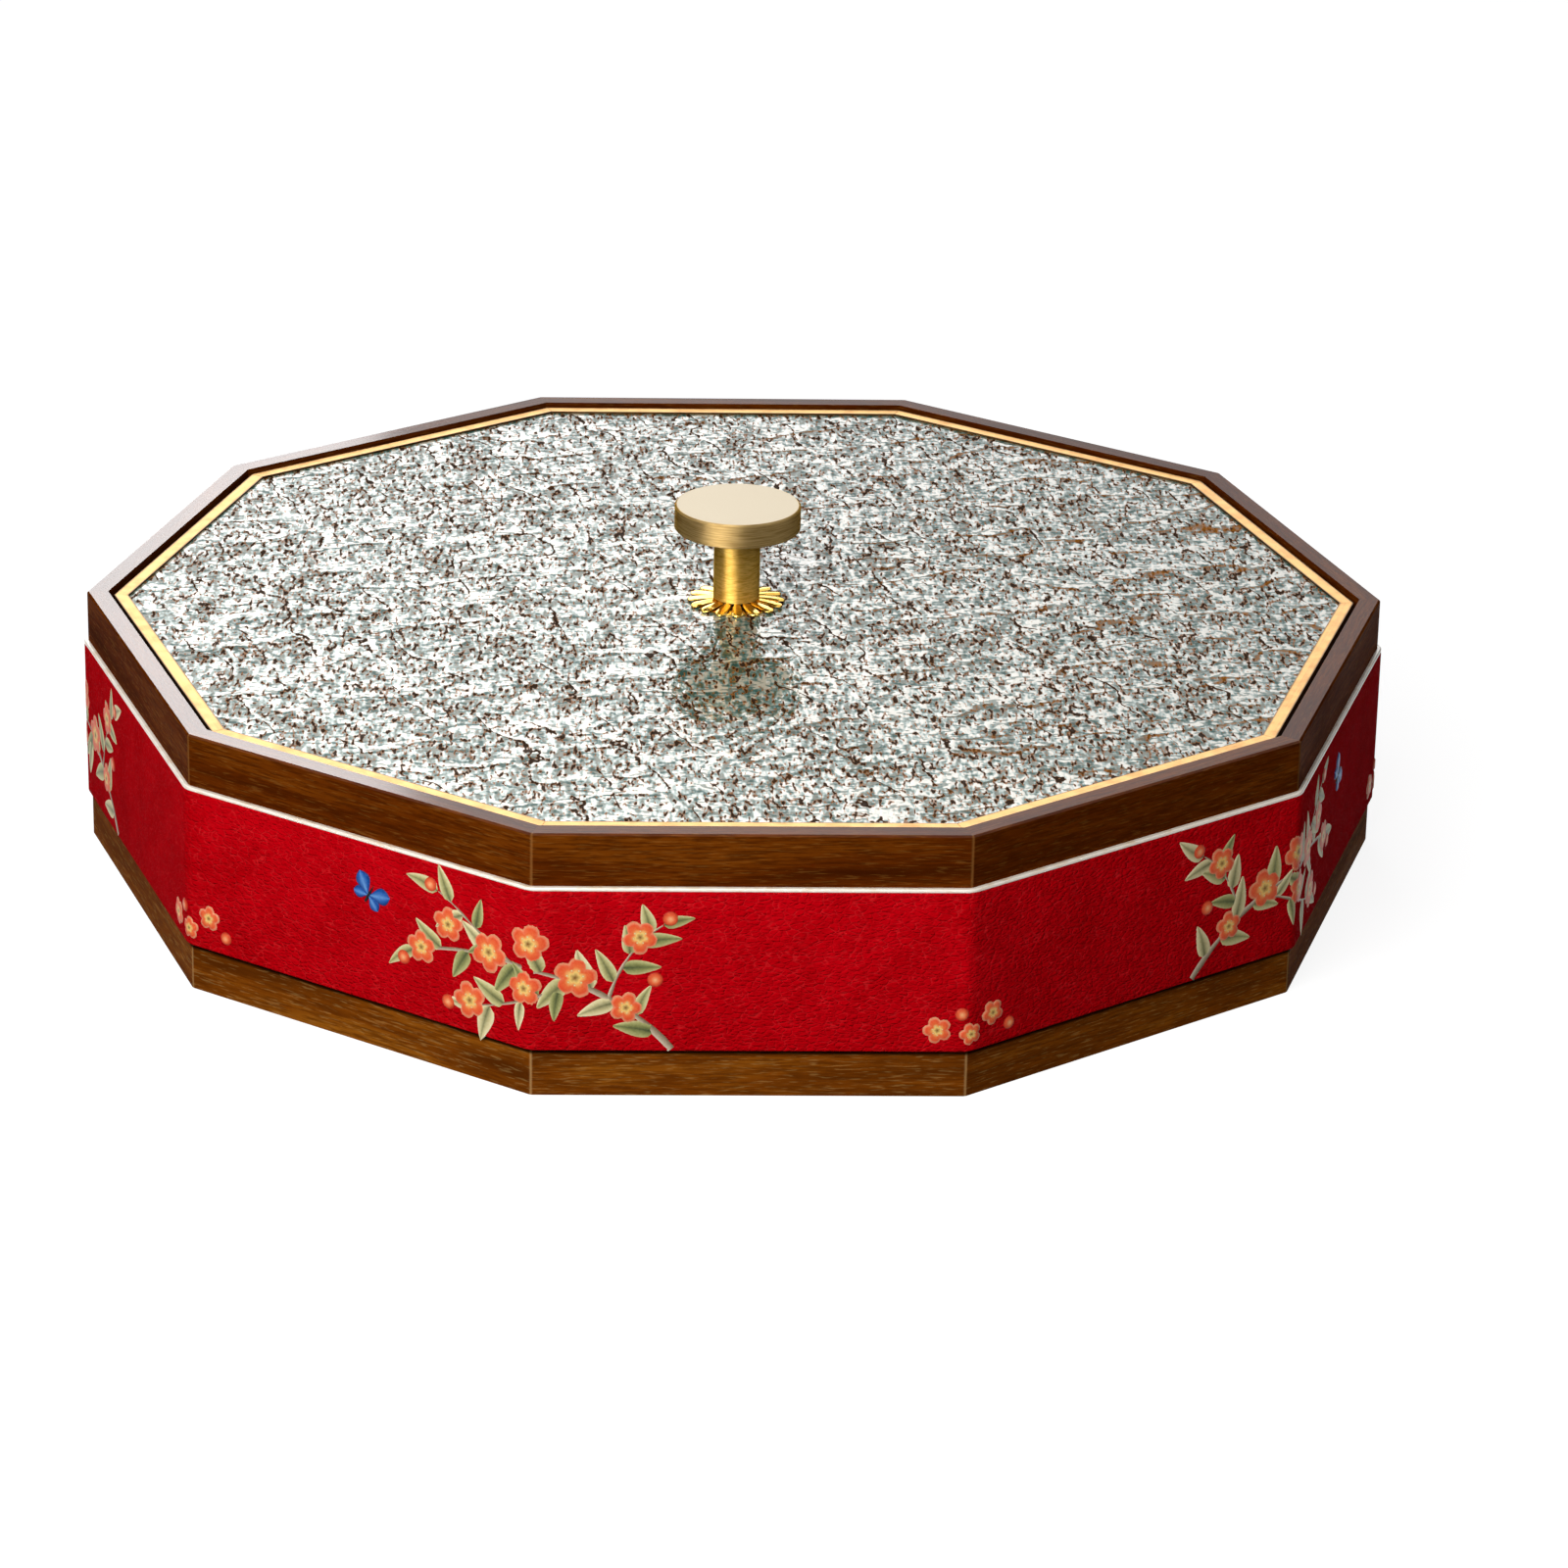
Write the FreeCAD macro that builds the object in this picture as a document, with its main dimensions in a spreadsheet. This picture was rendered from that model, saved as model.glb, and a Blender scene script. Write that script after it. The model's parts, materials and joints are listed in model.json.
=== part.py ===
import FreeCAD, Part
import Sketcher
import math
import os

# Ten-sided serving box in walnut with a leather band, a divided inside and a glass lid.
# Millimetres, +Z up, origin at the middle of the underside, one flat side to the front (-Y).
# The lid lies in the rim: brass channel round a hammered pane, with a turned knob.

SIDE_COUNT = 10
DIVIDER_COUNT = 5
PETAL_COUNT = 16
SOCKET_SIDES = 6
FULL_TURN = 360
TURN = FULL_TURN / SIDE_COUNT
MITRE = TURN / 2
FRONT = -90
NEARLY_ZERO = 1e-6

# An apothem is the distance from the middle of the box to a flat side.
SIZES = {
    "wall_apothem": 137.15,
    "wall_height": 58,
    "wall_thickness": 10,
    "corner_ease": 0.35,
    "rim_ease": 0.4,
    "rim_width": 4.5,
    "bottom_thickness": 6,
    "bottom_rebate": 5,
    "bottom_clearance": 0.2,
    "plinth_face": 10.4,
    "rim_face": 11.4,
    "edge_height": 0.9,
    "leather_thickness": 1,
    "leather_corner_radius": 5,
    "leather_seam": 0.2,
    "divider_headroom": 8.15,
    "divider_edge_radius": 1.5,
    "board_thickness": 6,
    "groove_depth": 3,
    "groove_clearance": 0.1,
    "ring_apothem": 42,
    "ring_wall": 6,
    "lid_drop": 0.85,
    "lid_gap": 1.3,
    "brass_sheet": 0.5,
    "brass_width": 2.9,
    "mitre_gap": 0.1,
    "glass_thickness": 4,
    "glass_edge_gap": 0.3,
    "petal_reach": 10.9,
    "petal_width": 2.6,
    "petal_thickness": 1.2,
    "petal_hub_radius": 6.8,
    "knob_rise": 22.9,
    "head_radius": 14,
    "head_thickness": 5.6,
    "head_ease": 0.4,
    "stem_radius": 5.15,
    "spigot_radius": 3.5,
    "spigot_length": 2.6,
    "fit_clearance": 0.05,
    "screw_radius": 2,
    "screw_bore_clearance": 0.6,
    "screw_grip": 9,
    "screw_head_radius": 3.8,
    "screw_head_height": 2.4,
    "screw_head_ease": 0.6,
    "screw_socket_apothem": 1.25,
    "screw_socket_depth": 1.4,
    "clamp_washer_radius": 6,
    "clamp_washer_thickness": 1,
    "soft_washer_radius": 8,
    "soft_washer_thickness": 1,
    "cut_overrun": 2,
}

# Places that several pieces share, written in the sizes above.
WALL_OUTER = "Sizes.wall_apothem"
WALL_INNER = "(Sizes.wall_apothem - Sizes.wall_thickness)"
SEAT_OUTER = "(Sizes.wall_apothem - Sizes.rim_width)"
BOTTOM_REBATE_OUTER = "(Sizes.wall_apothem - Sizes.wall_thickness + Sizes.bottom_rebate)"
LEATHER_OUTER = "(Sizes.wall_apothem + Sizes.leather_thickness)"
LID_OUTER = "(Sizes.wall_apothem - Sizes.rim_width - Sizes.lid_gap)"
BRASS_INNER = "(Sizes.wall_apothem - Sizes.rim_width - Sizes.lid_gap - Sizes.brass_width)"
GLASS_OUTER = f"({LID_OUTER} - Sizes.brass_sheet - Sizes.glass_edge_gap)"
LID_THICKNESS = "(Sizes.glass_thickness + 2 * Sizes.brass_sheet)"
SEAT_LEVEL = f"(Sizes.wall_height - Sizes.lid_drop - {LID_THICKNESS})"
DIVIDER_HEIGHT = f"({SEAT_LEVEL} - Sizes.divider_headroom - Sizes.bottom_thickness)"
EDGE_LEVEL = "(Sizes.wall_height - Sizes.rim_face - Sizes.edge_height)"
GLASS_BOTTOM = f"({SEAT_LEVEL} + Sizes.brass_sheet)"
GLASS_TOP = f"({GLASS_BOTTOM} + Sizes.glass_thickness)"
STEM_BOTTOM = f"({GLASS_TOP} + Sizes.petal_thickness)"
STEM_LENGTH = "(Sizes.knob_rise - Sizes.petal_thickness - Sizes.head_thickness)"
SCREW_BORE = "(Sizes.screw_radius + Sizes.screw_bore_clearance)"
SCREW_SOCKET = "(Sizes.screw_radius + Sizes.fit_clearance)"

doc = FreeCAD.newDocument("serving_box")
sheet = doc.addObject("Spreadsheet::Sheet", "Sizes")
for row, (alias, size) in enumerate(SIZES.items(), start=1):
    sheet.set(f"A{row}", alias)
    sheet.set(f"B{row}", str(size))
    sheet.setAlias(f"B{row}", alias)
doc.recompute()

pieces = []


def number(text):
    """The value that an expression has now."""
    return float(sheet.evalExpression(text))


def new_body(label):
    body = doc.addObject("PartDesign::Body", label)
    body.Label = label
    pieces.append(body)
    return body


def origin_feature(body, role):
    return next(f for f in body.Origin.OriginFeatures if f.Role == role)


def new_sketch(body, name, plane, level):
    sketch = body.newObject("Sketcher::SketchObject", name)
    sketch.AttachmentSupport = (origin_feature(body, plane), [""])
    sketch.MapMode = "FlatFace"
    if level:
        sketch.setExpression("AttachmentOffset.Base.z", level)
    return sketch


def bind(sketch, constraint, text):
    """Adds a constraint and ties its value to an expression."""
    index = sketch.addConstraint(constraint)
    sketch.setExpression(f"Constraints[{index}]", text)


def dimension(sketch, kind, line, text):
    """Places the start of a line from the origin, across (DistanceX) or up (DistanceY)."""
    place = number(text)
    if abs(place) < NEARLY_ZERO:
        axis = -2 if kind == "DistanceX" else -1
        sketch.addConstraint(Sketcher.Constraint("PointOnObject", line, 1, axis))
    elif place > 0:
        bind(sketch, Sketcher.Constraint(kind, -1, 1, line, 1, place), text)
    else:
        bind(sketch, Sketcher.Constraint(kind, line, 1, -1, 1, -place), f"-({text})")


def outline(body, name, *loops, plane="XY_Plane", level=None):
    """A sketch of closed polygons with every corner dimensioned from the origin."""
    sketch = new_sketch(body, name, plane, level)
    for corners in loops:
        first = sketch.GeometryCount
        places = [FreeCAD.Vector(number(x), number(y), 0) for x, y in corners]
        for here, there in zip(places, places[1:] + places[:1]):
            sketch.addGeometry(Part.LineSegment(here, there), False)
        for i in range(len(corners)):
            follower = first + (i + 1) % len(corners)
            sketch.addConstraint(Sketcher.Constraint("Coincident", first + i, 2, follower, 1))
        for i, (x, y) in enumerate(corners):
            dimension(sketch, "DistanceX", first + i, x)
            dimension(sketch, "DistanceY", first + i, y)
    return sketch


def rectangle(x_low, x_high, y_low, y_high):
    return [(x_low, y_low), (x_high, y_low), (x_high, y_high), (x_low, y_high)]


def regular(sides, apothem):
    """Corners of an even-sided outline with this apothem, one corner on +X."""
    reach = f"({apothem}) / cos({FULL_TURN / sides / 2})"
    turns = [FULL_TURN / sides * k for k in range(sides)]
    return [(f"{reach} * cos({turn})", f"{reach} * sin({turn})") for turn in turns]


def decagon(apothem):
    return regular(SIDE_COUNT, apothem)


def pad(body, sketch, length):
    feature = body.newObject("PartDesign::Pad", sketch.Name + "_pad")
    feature.Profile = sketch
    feature.setExpression("Length", length)
    doc.recompute()
    return feature


def pocket(body, sketch, length, upward):
    """Cuts a sketch's outline away, upward or downward from it."""
    before = body.Shape.Volume
    feature = body.newObject("PartDesign::Pocket", sketch.Name + "_pocket")
    feature.Profile = sketch
    feature.Reversed = upward
    feature.setExpression("Length", length)
    doc.recompute()
    if body.Shape.Volume >= before:
        raise ValueError(f"{feature.Name} cuts nothing")


def revolve(body, sketch):
    feature = body.newObject("PartDesign::Revolution", sketch.Name + "_turned")
    feature.Profile = sketch
    feature.ReferenceAxis = (sketch, ["V_Axis"])
    feature.Angle = FULL_TURN
    doc.recompute()


def edges_where(feature, test):
    """Names of the edges whose ends and middle all pass the test."""
    names = []
    for index, edge in enumerate(feature.Shape.Edges, start=1):
        middle = edge.valueAt((edge.FirstParameter + edge.LastParameter) / 2)
        if all(test(p) for p in [v.Point for v in edge.Vertexes] + [middle]):
            names.append(f"Edge{index}")
    return names


def dress(body, kind, feature, edges, size_name, size):
    """Rounds (Fillet, Radius) or bevels (Chamfer, Size) the named edges."""
    dressed = body.newObject(f"PartDesign::{kind}", f"{feature.Name}_{kind.lower()}")
    dressed.Base = (feature, edges)
    dressed.setExpression(size_name, size)
    doc.recompute()


def at_level(text):
    level = number(text)
    return lambda point: abs(point.z - level) < NEARLY_ZERO


def lift(body, level):
    body.setExpression("Placement.Base.z", level)


def place(body, level, side=0.0):
    """Lifts a piece to its level and turns it to face side number `side` from the front."""
    turn = FreeCAD.Rotation(FreeCAD.Vector(0, 0, 1), FRONT + TURN * side)
    body.Placement = FreeCAD.Placement(FreeCAD.Vector(0, 0, 0), turn)
    lift(body, level)


# Wooden walls: boards stand on edge, mitred at the corners. In a board's own frame +X points out
# of the box and Y runs along the board.

def wall_panel(index):
    body = new_body(f"wall_panel_{index + 1:02d}")
    half_outer = f"({WALL_OUTER} * tan({MITRE}))"
    half_inner = f"({WALL_INNER} * tan({MITRE}))"
    face_end = f"({half_outer} - Sizes.corner_ease)"
    eased_x = f"({WALL_OUTER} - Sizes.corner_ease * sin({MITRE}) * cos({MITRE}))"
    eased_y = f"({half_outer} - Sizes.corner_ease * sin({MITRE}) * sin({MITRE}))"
    plan = [
        (WALL_INNER, f"-{half_inner}"),
        (eased_x, f"-{eased_y}"),
        (WALL_OUTER, f"-{face_end}"),
        (WALL_OUTER, face_end),
        (eased_x, eased_y),
        (WALL_INNER, half_inner),
    ]
    board = pad(body, outline(body, "plan", plan), "Sizes.wall_height")
    rim = at_level("Sizes.wall_height")
    face = number(WALL_OUTER)
    edges = edges_where(board, lambda p: rim(p) and abs(p.x - face) < NEARLY_ZERO)
    dress(body, "Chamfer", board, edges, "Size", "Sizes.rim_ease")

    cut_from = f"({WALL_INNER} - Sizes.cut_overrun)"
    seat = rectangle(cut_from, SEAT_OUTER, f"-{half_outer}", half_outer)
    seat_sketch = outline(body, "lid_seat", seat, level="Sizes.wall_height")
    pocket(body, seat_sketch, f"Sizes.lid_drop + {LID_THICKNESS}", upward=False)
    rebate = rectangle(cut_from, BOTTOM_REBATE_OUTER, f"-{half_outer}", half_outer)
    pocket(body, outline(body, "bottom_rebate_plan", rebate), "Sizes.bottom_thickness", upward=True)
    if index % 2 == 0:
        half_groove = "(Sizes.board_thickness / 2 + Sizes.groove_clearance)"
        groove_end = f"({WALL_INNER} + Sizes.groove_depth)"
        groove = rectangle(cut_from, groove_end, f"-{half_groove}", half_groove)
        sketch = outline(body, "groove", groove, level="Sizes.bottom_thickness")
        pocket(body, sketch, DIVIDER_HEIGHT, upward=True)
    place(body, "0", index)


def bottom_panel():
    body = new_body("bottom_panel")
    edge = f"{BOTTOM_REBATE_OUTER} - Sizes.bottom_clearance"
    pad(body, outline(body, "bottom_plan", decagon(edge)), "Sizes.bottom_thickness")


# Leather: a strip round the walls with soft corners, whose ends meet in a seam at the middle of the
# back, and the pale edging along its top.

def leather_ring(label, level, height):
    body = new_body(label)
    sketch = outline(body, f"{label}_plan", decagon(LEATHER_OUTER), decagon(WALL_OUTER))
    ring = pad(body, sketch, height)
    corner = number(f"{LEATHER_OUTER} / cos({MITRE})")
    outer = edges_where(ring, lambda p: abs(math.hypot(p.x, p.y) - corner) < NEARLY_ZERO)
    dress(body, "Fillet", ring, outer, "Radius", "Sizes.leather_corner_radius")
    half_seam = "(Sizes.leather_seam / 2)"
    seam_from = f"({WALL_OUTER} - Sizes.cut_overrun)"
    seam_to = f"({LEATHER_OUTER} + Sizes.cut_overrun)"
    seam = rectangle(f"-{half_seam}", half_seam, seam_from, seam_to)
    pocket(body, outline(body, f"{label}_seam", seam), height, upward=True)
    lift(body, level)


# Divider: a ten-sided middle ring and five boards from it to every second wall.

def centre_ring():
    body = new_body("centre_ring")
    inner = "Sizes.ring_apothem - Sizes.ring_wall"
    sketch = outline(body, "ring_plan", decagon("Sizes.ring_apothem"), decagon(inner))
    ring = pad(body, sketch, DIVIDER_HEIGHT)
    top = edges_where(ring, at_level(DIVIDER_HEIGHT))
    dress(body, "Fillet", ring, top, "Radius", "Sizes.divider_edge_radius")
    lift(body, "Sizes.bottom_thickness")


def divider_board(index):
    body = new_body(f"divider_board_{index + 1:02d}")
    half = "(Sizes.board_thickness / 2)"
    end = f"({WALL_INNER} + Sizes.groove_depth - Sizes.groove_clearance)"
    plan = rectangle("Sizes.ring_apothem", end, f"-{half}", half)
    height = f"({DIVIDER_HEIGHT} - Sizes.groove_clearance)"
    board = pad(body, outline(body, "board_plan", plan), height)
    top = at_level(height)
    side = number(half)
    edges = edges_where(board, lambda p: top(p) and abs(abs(p.y) - side) < NEARLY_ZERO)
    dress(body, "Fillet", board, edges, "Radius", "Sizes.divider_edge_radius")
    place(body, "Sizes.bottom_thickness", index * SIDE_COUNT / DIVIDER_COUNT)


# Lid: mitred brass channel wraps the edge of the pane.

def brass_edge(index):
    body = new_body(f"brass_edge_{index + 1:02d}")
    short = f"Sizes.mitre_gap / 2 / cos({MITRE})"
    half_outer = f"({LID_OUTER} * tan({MITRE}) - {short})"
    half_inner = f"({BRASS_INNER} * tan({MITRE}) - {short})"
    plan = [
        (BRASS_INNER, f"-{half_inner}"),
        (LID_OUTER, f"-{half_outer}"),
        (LID_OUTER, half_outer),
        (BRASS_INNER, half_inner),
    ]
    pad(body, outline(body, "strip_plan", plan), LID_THICKNESS)
    slot_from = f"({BRASS_INNER} - Sizes.cut_overrun)"
    slot_end = f"({LID_OUTER} - Sizes.brass_sheet)"
    slot = rectangle(slot_from, slot_end, f"-{half_outer}", half_outer)
    sketch = outline(body, "glass_slot", slot, level="Sizes.brass_sheet")
    pocket(body, sketch, "Sizes.glass_thickness", upward=True)
    place(body, SEAT_LEVEL, index)


def glass_panel():
    body = new_body("glass_panel")
    sketch = outline(body, "pane_plan", decagon(GLASS_OUTER))
    hole = sketch.addGeometry(Part.Circle(FreeCAD.Vector(0, 0, 0), FreeCAD.Vector(0, 0, 1),
                                          number(SCREW_BORE)), False)
    sketch.addConstraint(Sketcher.Constraint("Coincident", hole, 3, -1, 1))
    bind(sketch, Sketcher.Constraint("Radius", hole, number(SCREW_BORE)), SCREW_BORE)
    pad(body, sketch, "Sizes.glass_thickness")
    lift(body, GLASS_BOTTOM)


# Knob: a flower washer on the glass, a turned post and a flat round head, all on one screw.

def petal_sketch(body):
    """A petal: a straight bar from near the hole outward, closed by a round tip."""
    half = "(Sizes.petal_width / 2)"
    tip = f"(Sizes.petal_reach - {half})"
    root = "Sizes.stem_radius"
    hw, tip_x, root_x = number(half), number(tip), number(root)
    sketch = new_sketch(body, "petal", "XY_Plane", None)
    corner = FreeCAD.Vector
    round_tip = Part.Circle(corner(tip_x, 0, 0), corner(0, 0, 1), hw)
    sketch.addGeometry([
        Part.LineSegment(corner(root_x, -hw, 0), corner(tip_x, -hw, 0)),
        Part.ArcOfCircle(round_tip, -math.pi / 2, math.pi / 2),
        Part.LineSegment(corner(tip_x, hw, 0), corner(root_x, hw, 0)),
        Part.LineSegment(corner(root_x, hw, 0), corner(root_x, -hw, 0)),
    ], False)
    for rule in (("Tangent", 0, 2, 1, 1), ("Tangent", 1, 2, 2, 1), ("Coincident", 2, 2, 3, 1),
                 ("Coincident", 3, 2, 0, 1), ("Horizontal", 0), ("Vertical", 3),
                 ("PointOnObject", 1, 3, -1)):
        sketch.addConstraint(Sketcher.Constraint(*rule))
    bind(sketch, Sketcher.Constraint("Radius", 1, hw), half)
    bind(sketch, Sketcher.Constraint("DistanceX", -1, 1, 1, 3, tip_x), tip)
    bind(sketch, Sketcher.Constraint("DistanceX", -1, 1, 3, 1, root_x), root)
    return sketch


def petal_washer():
    body = new_body("petal_washer")
    hub = rectangle(SCREW_BORE, "Sizes.petal_hub_radius", "0", "Sizes.petal_thickness")
    revolve(body, outline(body, "petal_hub", hub, plane="XZ_Plane"))
    petal = pad(body, petal_sketch(body), "Sizes.petal_thickness")
    petals = body.newObject("PartDesign::PolarPattern", "petals")
    petals.Originals = [petal]
    petals.Axis = (origin_feature(body, "Z_Axis"), [""])
    petals.Angle = FULL_TURN
    petals.Occurrences = PETAL_COUNT
    body.Tip = petals
    doc.recompute()
    lift(body, GLASS_TOP)


def knob_stem():
    body = new_body("knob_stem")
    spigot_top = f"({STEM_LENGTH} + Sizes.spigot_length)"
    socket_depth = "(Sizes.screw_grip + Sizes.fit_clearance)"
    profile = [
        (SCREW_SOCKET, "0"),
        ("Sizes.stem_radius", "0"),
        ("Sizes.stem_radius", STEM_LENGTH),
        ("Sizes.spigot_radius", STEM_LENGTH),
        ("Sizes.spigot_radius", spigot_top),
        ("0", spigot_top),
        ("0", socket_depth),
        (SCREW_SOCKET, socket_depth),
    ]
    revolve(body, outline(body, "stem_profile", profile, plane="XZ_Plane"))
    lift(body, STEM_BOTTOM)


def knob_head():
    body = new_body("knob_head")
    socket = "(Sizes.spigot_radius + Sizes.fit_clearance)"
    socket_top = "(Sizes.spigot_length + Sizes.fit_clearance)"
    profile = [
        (socket, "0"),
        ("(Sizes.head_radius - Sizes.head_ease)", "0"),
        ("Sizes.head_radius", "Sizes.head_ease"),
        ("Sizes.head_radius", "(Sizes.head_thickness - Sizes.head_ease)"),
        ("(Sizes.head_radius - Sizes.head_ease)", "Sizes.head_thickness"),
        ("0", "Sizes.head_thickness"),
        ("0", socket_top),
        (socket, socket_top),
    ]
    revolve(body, outline(body, "head_profile", profile, plane="XZ_Plane"))
    lift(body, f"{STEM_BOTTOM} + {STEM_LENGTH}")


def washer(label, radius, thickness, level):
    body = new_body(label)
    profile = rectangle(SCREW_BORE, radius, "0", thickness)
    revolve(body, outline(body, f"{label}_profile", profile, plane="XZ_Plane"))
    lift(body, level)


def knob_screw():
    """A socket-head screw from below, through both washers and the pane into the post."""
    body = new_body("knob_screw")
    stack = "(Sizes.clamp_washer_thickness + Sizes.soft_washer_thickness + Sizes.glass_thickness)"
    top = f"(Sizes.screw_head_height + {stack} + Sizes.petal_thickness + Sizes.screw_grip)"
    profile = [
        ("0", "0"),
        ("(Sizes.screw_head_radius - Sizes.screw_head_ease)", "0"),
        ("Sizes.screw_head_radius", "Sizes.screw_head_ease"),
        ("Sizes.screw_head_radius", "Sizes.screw_head_height"),
        ("Sizes.screw_radius", "Sizes.screw_head_height"),
        ("Sizes.screw_radius", top),
        ("0", top),
    ]
    revolve(body, outline(body, "screw_profile", profile, plane="XZ_Plane"))
    socket = outline(body, "key_socket", regular(SOCKET_SIDES, "Sizes.screw_socket_apothem"))
    pocket(body, socket, "Sizes.screw_socket_depth", upward=True)
    below = "Sizes.clamp_washer_thickness + Sizes.soft_washer_thickness + Sizes.screw_head_height"
    lift(body, f"{GLASS_BOTTOM} - ({below})")


for side_index in range(SIDE_COUNT):
    wall_panel(side_index)
bottom_panel()
leather_ring("leather_band", "Sizes.plinth_face", f"{EDGE_LEVEL} - Sizes.plinth_face")
leather_ring("band_edge_strip", EDGE_LEVEL, "Sizes.edge_height")
centre_ring()
for board_index in range(DIVIDER_COUNT):
    divider_board(board_index)
for side_index in range(SIDE_COUNT):
    brass_edge(side_index)
glass_panel()
petal_washer()
knob_stem()
knob_head()
knob_screw()
washer("soft_washer", "Sizes.soft_washer_radius", "Sizes.soft_washer_thickness",
       f"{GLASS_BOTTOM} - Sizes.soft_washer_thickness")
washer("clamp_washer", "Sizes.clamp_washer_radius", "Sizes.clamp_washer_thickness",
       f"{GLASS_BOTTOM} - Sizes.soft_washer_thickness - Sizes.clamp_washer_thickness")
doc.recompute()

for item in doc.Objects:
    if "Invalid" in item.State or "Error" in item.State:
        raise ValueError(f"{item.Name} failed: {item.State}")
os.makedirs("parts", exist_ok=True)
for piece in pieces:
    if piece.Shape.isNull() or not piece.Shape.isValid() or not piece.Shape.Solids:
        raise ValueError(f"{piece.Label} has no valid solid")
    piece.Shape.exportStep(f"parts/{piece.Label}.step")
    box = piece.Shape.BoundBox
    print(f"{piece.Label}: {len(piece.Shape.Solids)} solid, {piece.Shape.Volume:.0f} mm3, "
          f"z {box.ZMin:.2f} to {box.ZMax:.2f}, x {box.XMin:.2f} to {box.XMax:.2f}")
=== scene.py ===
"""Looks of a divided serving box: walnut walls, a red leather band and a framed hammered glass lid.

Sizes are in metres, in the frame's own axes: Z is up and the front faces -Y.
"""

import json
import logging
import math
from dataclasses import dataclass, field
from enum import Enum
from typing import Any

import bpy
import numpy as np
from mathutils import Matrix, Vector

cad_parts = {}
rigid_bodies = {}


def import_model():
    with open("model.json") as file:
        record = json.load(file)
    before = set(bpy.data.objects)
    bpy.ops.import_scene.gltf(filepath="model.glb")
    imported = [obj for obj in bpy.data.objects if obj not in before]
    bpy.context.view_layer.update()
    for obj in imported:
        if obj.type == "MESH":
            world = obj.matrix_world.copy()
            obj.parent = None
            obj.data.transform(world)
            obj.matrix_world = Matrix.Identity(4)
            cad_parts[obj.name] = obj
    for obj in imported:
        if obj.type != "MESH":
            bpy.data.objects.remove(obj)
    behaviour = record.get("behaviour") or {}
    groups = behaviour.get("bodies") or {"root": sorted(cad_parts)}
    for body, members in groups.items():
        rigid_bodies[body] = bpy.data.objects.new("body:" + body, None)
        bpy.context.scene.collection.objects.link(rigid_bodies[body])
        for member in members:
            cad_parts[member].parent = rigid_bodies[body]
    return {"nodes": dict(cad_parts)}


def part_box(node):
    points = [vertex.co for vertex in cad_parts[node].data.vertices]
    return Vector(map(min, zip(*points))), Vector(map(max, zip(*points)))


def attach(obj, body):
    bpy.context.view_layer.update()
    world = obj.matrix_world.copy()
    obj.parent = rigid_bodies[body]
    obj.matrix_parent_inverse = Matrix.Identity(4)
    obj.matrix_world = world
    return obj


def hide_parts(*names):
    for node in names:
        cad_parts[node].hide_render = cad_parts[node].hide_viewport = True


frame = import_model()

LOG = logging.getLogger("serving_box")
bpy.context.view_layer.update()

Array = np.ndarray
Colour = tuple[float, float, float, float]
Socket = bpy.types.NodeSocket
Piece = bpy.types.Object
Spot = tuple[float, float]
RoundSpot = tuple[float, float, float]
Colours = tuple[Colour, ...]

MM = 0.001
SIDES = 10
HALF_SIDE = math.pi / SIDES
FULL_TURN = 2 * math.pi
FRONT = -math.pi / 2
BACK = math.pi / 2
PAINT = "Paint"
CREASE = math.radians(40)
WHITE = (1, 1, 1, 1)
BLACK = (0.0, 0.0, 0.0, 1.0)


class Body(str, Enum):
    """The two bodies that a piece can ride on."""

    BOX = "box"
    LID = "lid"


def tint(red: float, green: float, blue: float) -> Colour:
    """Turns a colour as a screen shows it, 0 to 255, into the linear colour that a shader takes.

    Args:
        red: Red share.
        green: Green share.
        blue: Blue share.

    Returns:
        Linear red, green, blue and an alpha of 1.
    """
    shares = np.array([red, green, blue]) / 255
    linear = np.where(shares <= 0.04045, shares / 12.92, ((shares + 0.055) / 1.055) ** 2.4)
    return (float(linear[0]), float(linear[1]), float(linear[2]), 1.0)


def side_direction(number: int) -> float:
    """The direction that side number faces, counted anticlockwise from the front, which is 0."""
    return FRONT + number * 2 * HALF_SIDE


def along_side(number: int) -> float:
    """The direction that side number runs in, a quarter turn from the one that it faces."""
    return side_direction(number) + math.pi / 2


def smooth_step(value: Array) -> Array:
    """Eases a share from 0 to 1: three times its square less twice its cube."""
    share = np.clip(value, 0, 1)
    return share * share * (3 - 2 * share)


def grid(first: Array, second: Array) -> list[Array]:
    """Both parameters at every point of a grid, from the values that each of them runs through."""
    return np.meshgrid(first, second, indexing="ij")


def quads(rows: int, columns: int, loop_rows: bool = False, loop_columns: bool = False) -> Array:
    """Corner numbers of the quads of a grid whose points are numbered row by row.

    Args:
        rows: Points along the first parameter.
        columns: Points along the second parameter.
        loop_rows: Whether the last row joins the first.
        loop_columns: Whether the last column joins the first.

    Returns:
        One row of four corner numbers for each quad.
    """
    row, column = grid(
        np.arange(rows if loop_rows else rows - 1), np.arange(columns if loop_columns else columns - 1)
    )
    next_row, next_column = (row + 1) % rows, (column + 1) % columns
    corners = [
        row * columns + column,
        next_row * columns + column,
        next_row * columns + next_column,
        row * columns + next_column,
    ]
    return np.stack(corners, axis=-1).reshape(-1, 4)


def end_caps(rows: int, columns: int) -> list[list[int]]:
    """The first and the last row of a grid as two faces, which close the ends of a tube."""
    last = (rows - 1) * columns
    return [list(range(columns)), list(range(last + columns - 1, last - 1, -1))]


def spread(*shares: Array) -> Array:
    """Puts coordinates side by side in one array's last axis."""
    return np.stack(np.broadcast_arrays(*shares), axis=-1)


def polar(reach: Array, bearing: Array) -> Array:
    """X and Y of what lies at a reach on a bearing: the reach times its cosine and its sine."""
    return spread(reach * np.cos(bearing), reach * np.sin(bearing))


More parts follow.
